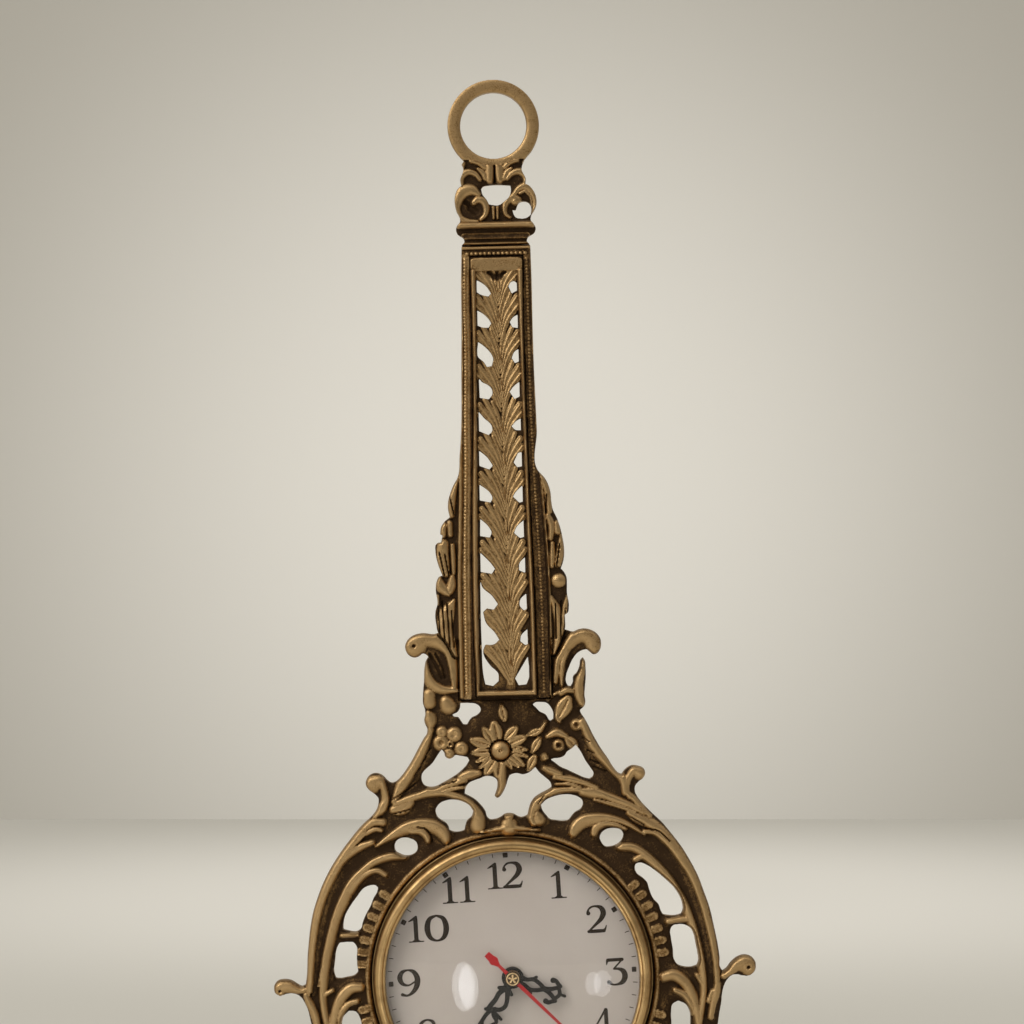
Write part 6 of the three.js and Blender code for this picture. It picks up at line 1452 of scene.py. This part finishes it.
MINUTE_STROKES = [
    [(2.6, 0, 1.5), (5, 0, 1.2)], [(5.2, 0, 1), (6.4, 3.0, 0.55)], [(5.2, 0, 1), (6.4, -3.0, 0.55)],
    [(5.6, -0.6, 0.8), (8.65, -1.9, 0.75), (11.6, -1.9, 0.7), (14.2, -2.4, 0.75), (16.7, -2.7, 0.7)],
    [(5.6, 0.6, 0.7), (8, 1.9, 0.7), (10, 2.75, 0.65), (12.1, 3.1, 0.65), (14.3, 2.0, 0.65),
     (15.4, -0.2, 0.65), (16.7, -2.7, 0.6)], [(15.4, -0.2, 0.8), (17.5, 0.6, 0.75), (19, 2.6, 0.6)],
    [(16.7, -2.7, 0.7), (17.1, -3.7, 0.5)], [(17, 1.5, 0.6), (17.8, 4.3, 0.45)],
    [(16.6, -1.6, 0.7), (19.5, -2.3, 0.6), (22.4, -2.5, 0.6), (24.8, -2.8, 0.5)],
    [(18.4, 2, 0.6), (20, 3.1, 0.55), (22, 2, 0.6), (24.5, 0.6, 0.6), (28, 0, 0.75)],
    [(22.4, -2.5, 0.6), (25, -1.2, 0.6), (28, 0, 0.7)], [(28, 0, 0.8), (36, 0, 0.55), (41, 0, 0.28)]]


def make_hand(name, node, body, measures, strokes, tip, finish):
    degrees, thicker, low_corner, high_corner, hub, hole = measures
    field = Field(low_corner, high_corner, HAND_STEP)
    for stroke in [[(u, v, w * thicker) for u, v, w in stroke] for stroke in strokes] + tip:
        field.ink(stroke)
    low, top = depths(node)
    middle = (low + top) / 2
    reach = field.reach()
    field.inset = np.minimum(np.maximum(field.inset, hub - reach), reach - hole)
    field.height = np.where(reach < hub, top - 0.02, middle + BLADE_HALF)
    field.roll_edges(middle - 0.1, top, 0.4)
    along, across = math.sin(math.radians(degrees)), math.cos(math.radians(degrees))

    def put(u, v, z):
        return world(u * along - v * across, u * across + v * along, z)

    link(cast_mesh(name, field, middle - 0.24, put), finish, body, node, slot="black_hands")


def make_hands(finish):
    both_sides = HOUR_STROKES + [[(u, -v, w) for u, v, w in stroke] for stroke in HOUR_STROKES]
    make_hand("hour_hand_blade", "hour_hand", "hour_pipe", HOUR_HAND, both_sides, [HOUR_TIP], finish)
    make_hand("minute_hand_blade", "minute_hand", "minute_arbor", MINUTE_HAND, MINUTE_STROKES, [], finish)


# The model: the made pieces, and the finishes of the CAD nodes that stay

def build():
    brass = antique_brass("antique_brass", POLISHED, WORN, rough=(0.35, 0.74))
    turned_brass = turned_metal("turned_brass", rgb(186, 154, 106), rgb(134, 104, 66), 0.32, lines=0.3)
    drum_brass = turned_metal("drum_brass", rgb(168, 140, 94), rgb(112, 86, 54), 0.42, lines=0.5)
    gilt = antique_brass("cap_gilt", rgb(218, 192, 146), rgb(158, 120, 68), rough=(0.3, 0.6))
    steel = plain_finish("zinc_steel", (176, 176, 174), (140, 140, 140), 0.34, 1.0)
    aluminium = plain_finish("rolled_sheet", (182, 184, 186), (166, 168, 170), 0.4, 1.0)
    black = plain_finish("black_paint", (14, 11, 8), (22, 17, 12), 0.62, grain=2600, gloss=0.15)
    red = plain_finish("red_paint", (170, 10, 16), (146, 8, 12), 0.55, grain=2600, gloss=0.25)
    card = plain_finish("dial_paper", (181, 172, 164), (174, 164, 155), 0.8, grain=1800, bump=0.12,
                        scale=25)
    ink = plain_finish("dial_ink", (34, 24, 15), (44, 33, 22), 0.8, grain=2600, gloss=0.1)
    case = plain_finish("case_plastic", (40, 40, 42), (48, 48, 50), 0.5, grain=1500)
    wheel = plain_finish("wheel_plastic", (228, 225, 214), (220, 216, 204), 0.42)
    rubber = plain_finish("rubber", (38, 38, 39), (46, 46, 47), 0.8)
    copper = plain_finish("coil_copper", (176, 98, 56), (150, 78, 44), 0.34, 0.8, grain=4000)
    board = plain_finish("circuit_board", (40, 96, 62), (34, 84, 54), 0.4)
    jacket = plain_finish("cell_jacket", (64, 88, 118), (58, 80, 108), 0.36)
    for make in (make_dial_frame, make_tower, make_grille, make_crest, make_boss):
        make(brass)
    make_drum(drum_brass)
    make_bezel(turned_brass)
    make_lens(lens_glass())
    make_dial(card, ink)
    make_hands(black)
    make_cap(gilt)
    for finish, names in (
            (brass, "daisy_rivet"), (turned_brass, "minute_nut mounting_nut threaded_bush"),
            (steel, "drum_screw_1 drum_screw_2 drum_screw_3 drum_screw_4 tower_screw_1 tower_screw_2 "
                    "crest_screw_1 crest_screw_2 grille_screw_top grille_screw_bottom mounting_washer "
                    "motor_stator quartz_crystal battery_contact_positive battery_contact_negative"),
            (aluminium, "dial_plate"), (red, "second_hand"),
            (case, "movement_front_case movement_back_case bearing_plate setting_knob"),
            (wheel, "seconds_wheel cannon_pinion hour_wheel minute_wheel motor_rotor intermediate_wheel "
                    "third_wheel centre_wheel"),
            (rubber, "rubber_washer"), (copper, "drive_coil"), (board, "circuit_board"),
            (jacket, "aa_cell")):
        for name in names.split():
            data = frame["nodes"][name].data
            data.materials.clear()
            data.materials.append(finish)


bpy.context.scene.view_settings.view_transform = "Standard"
add_camera()
add_surroundings()
build()
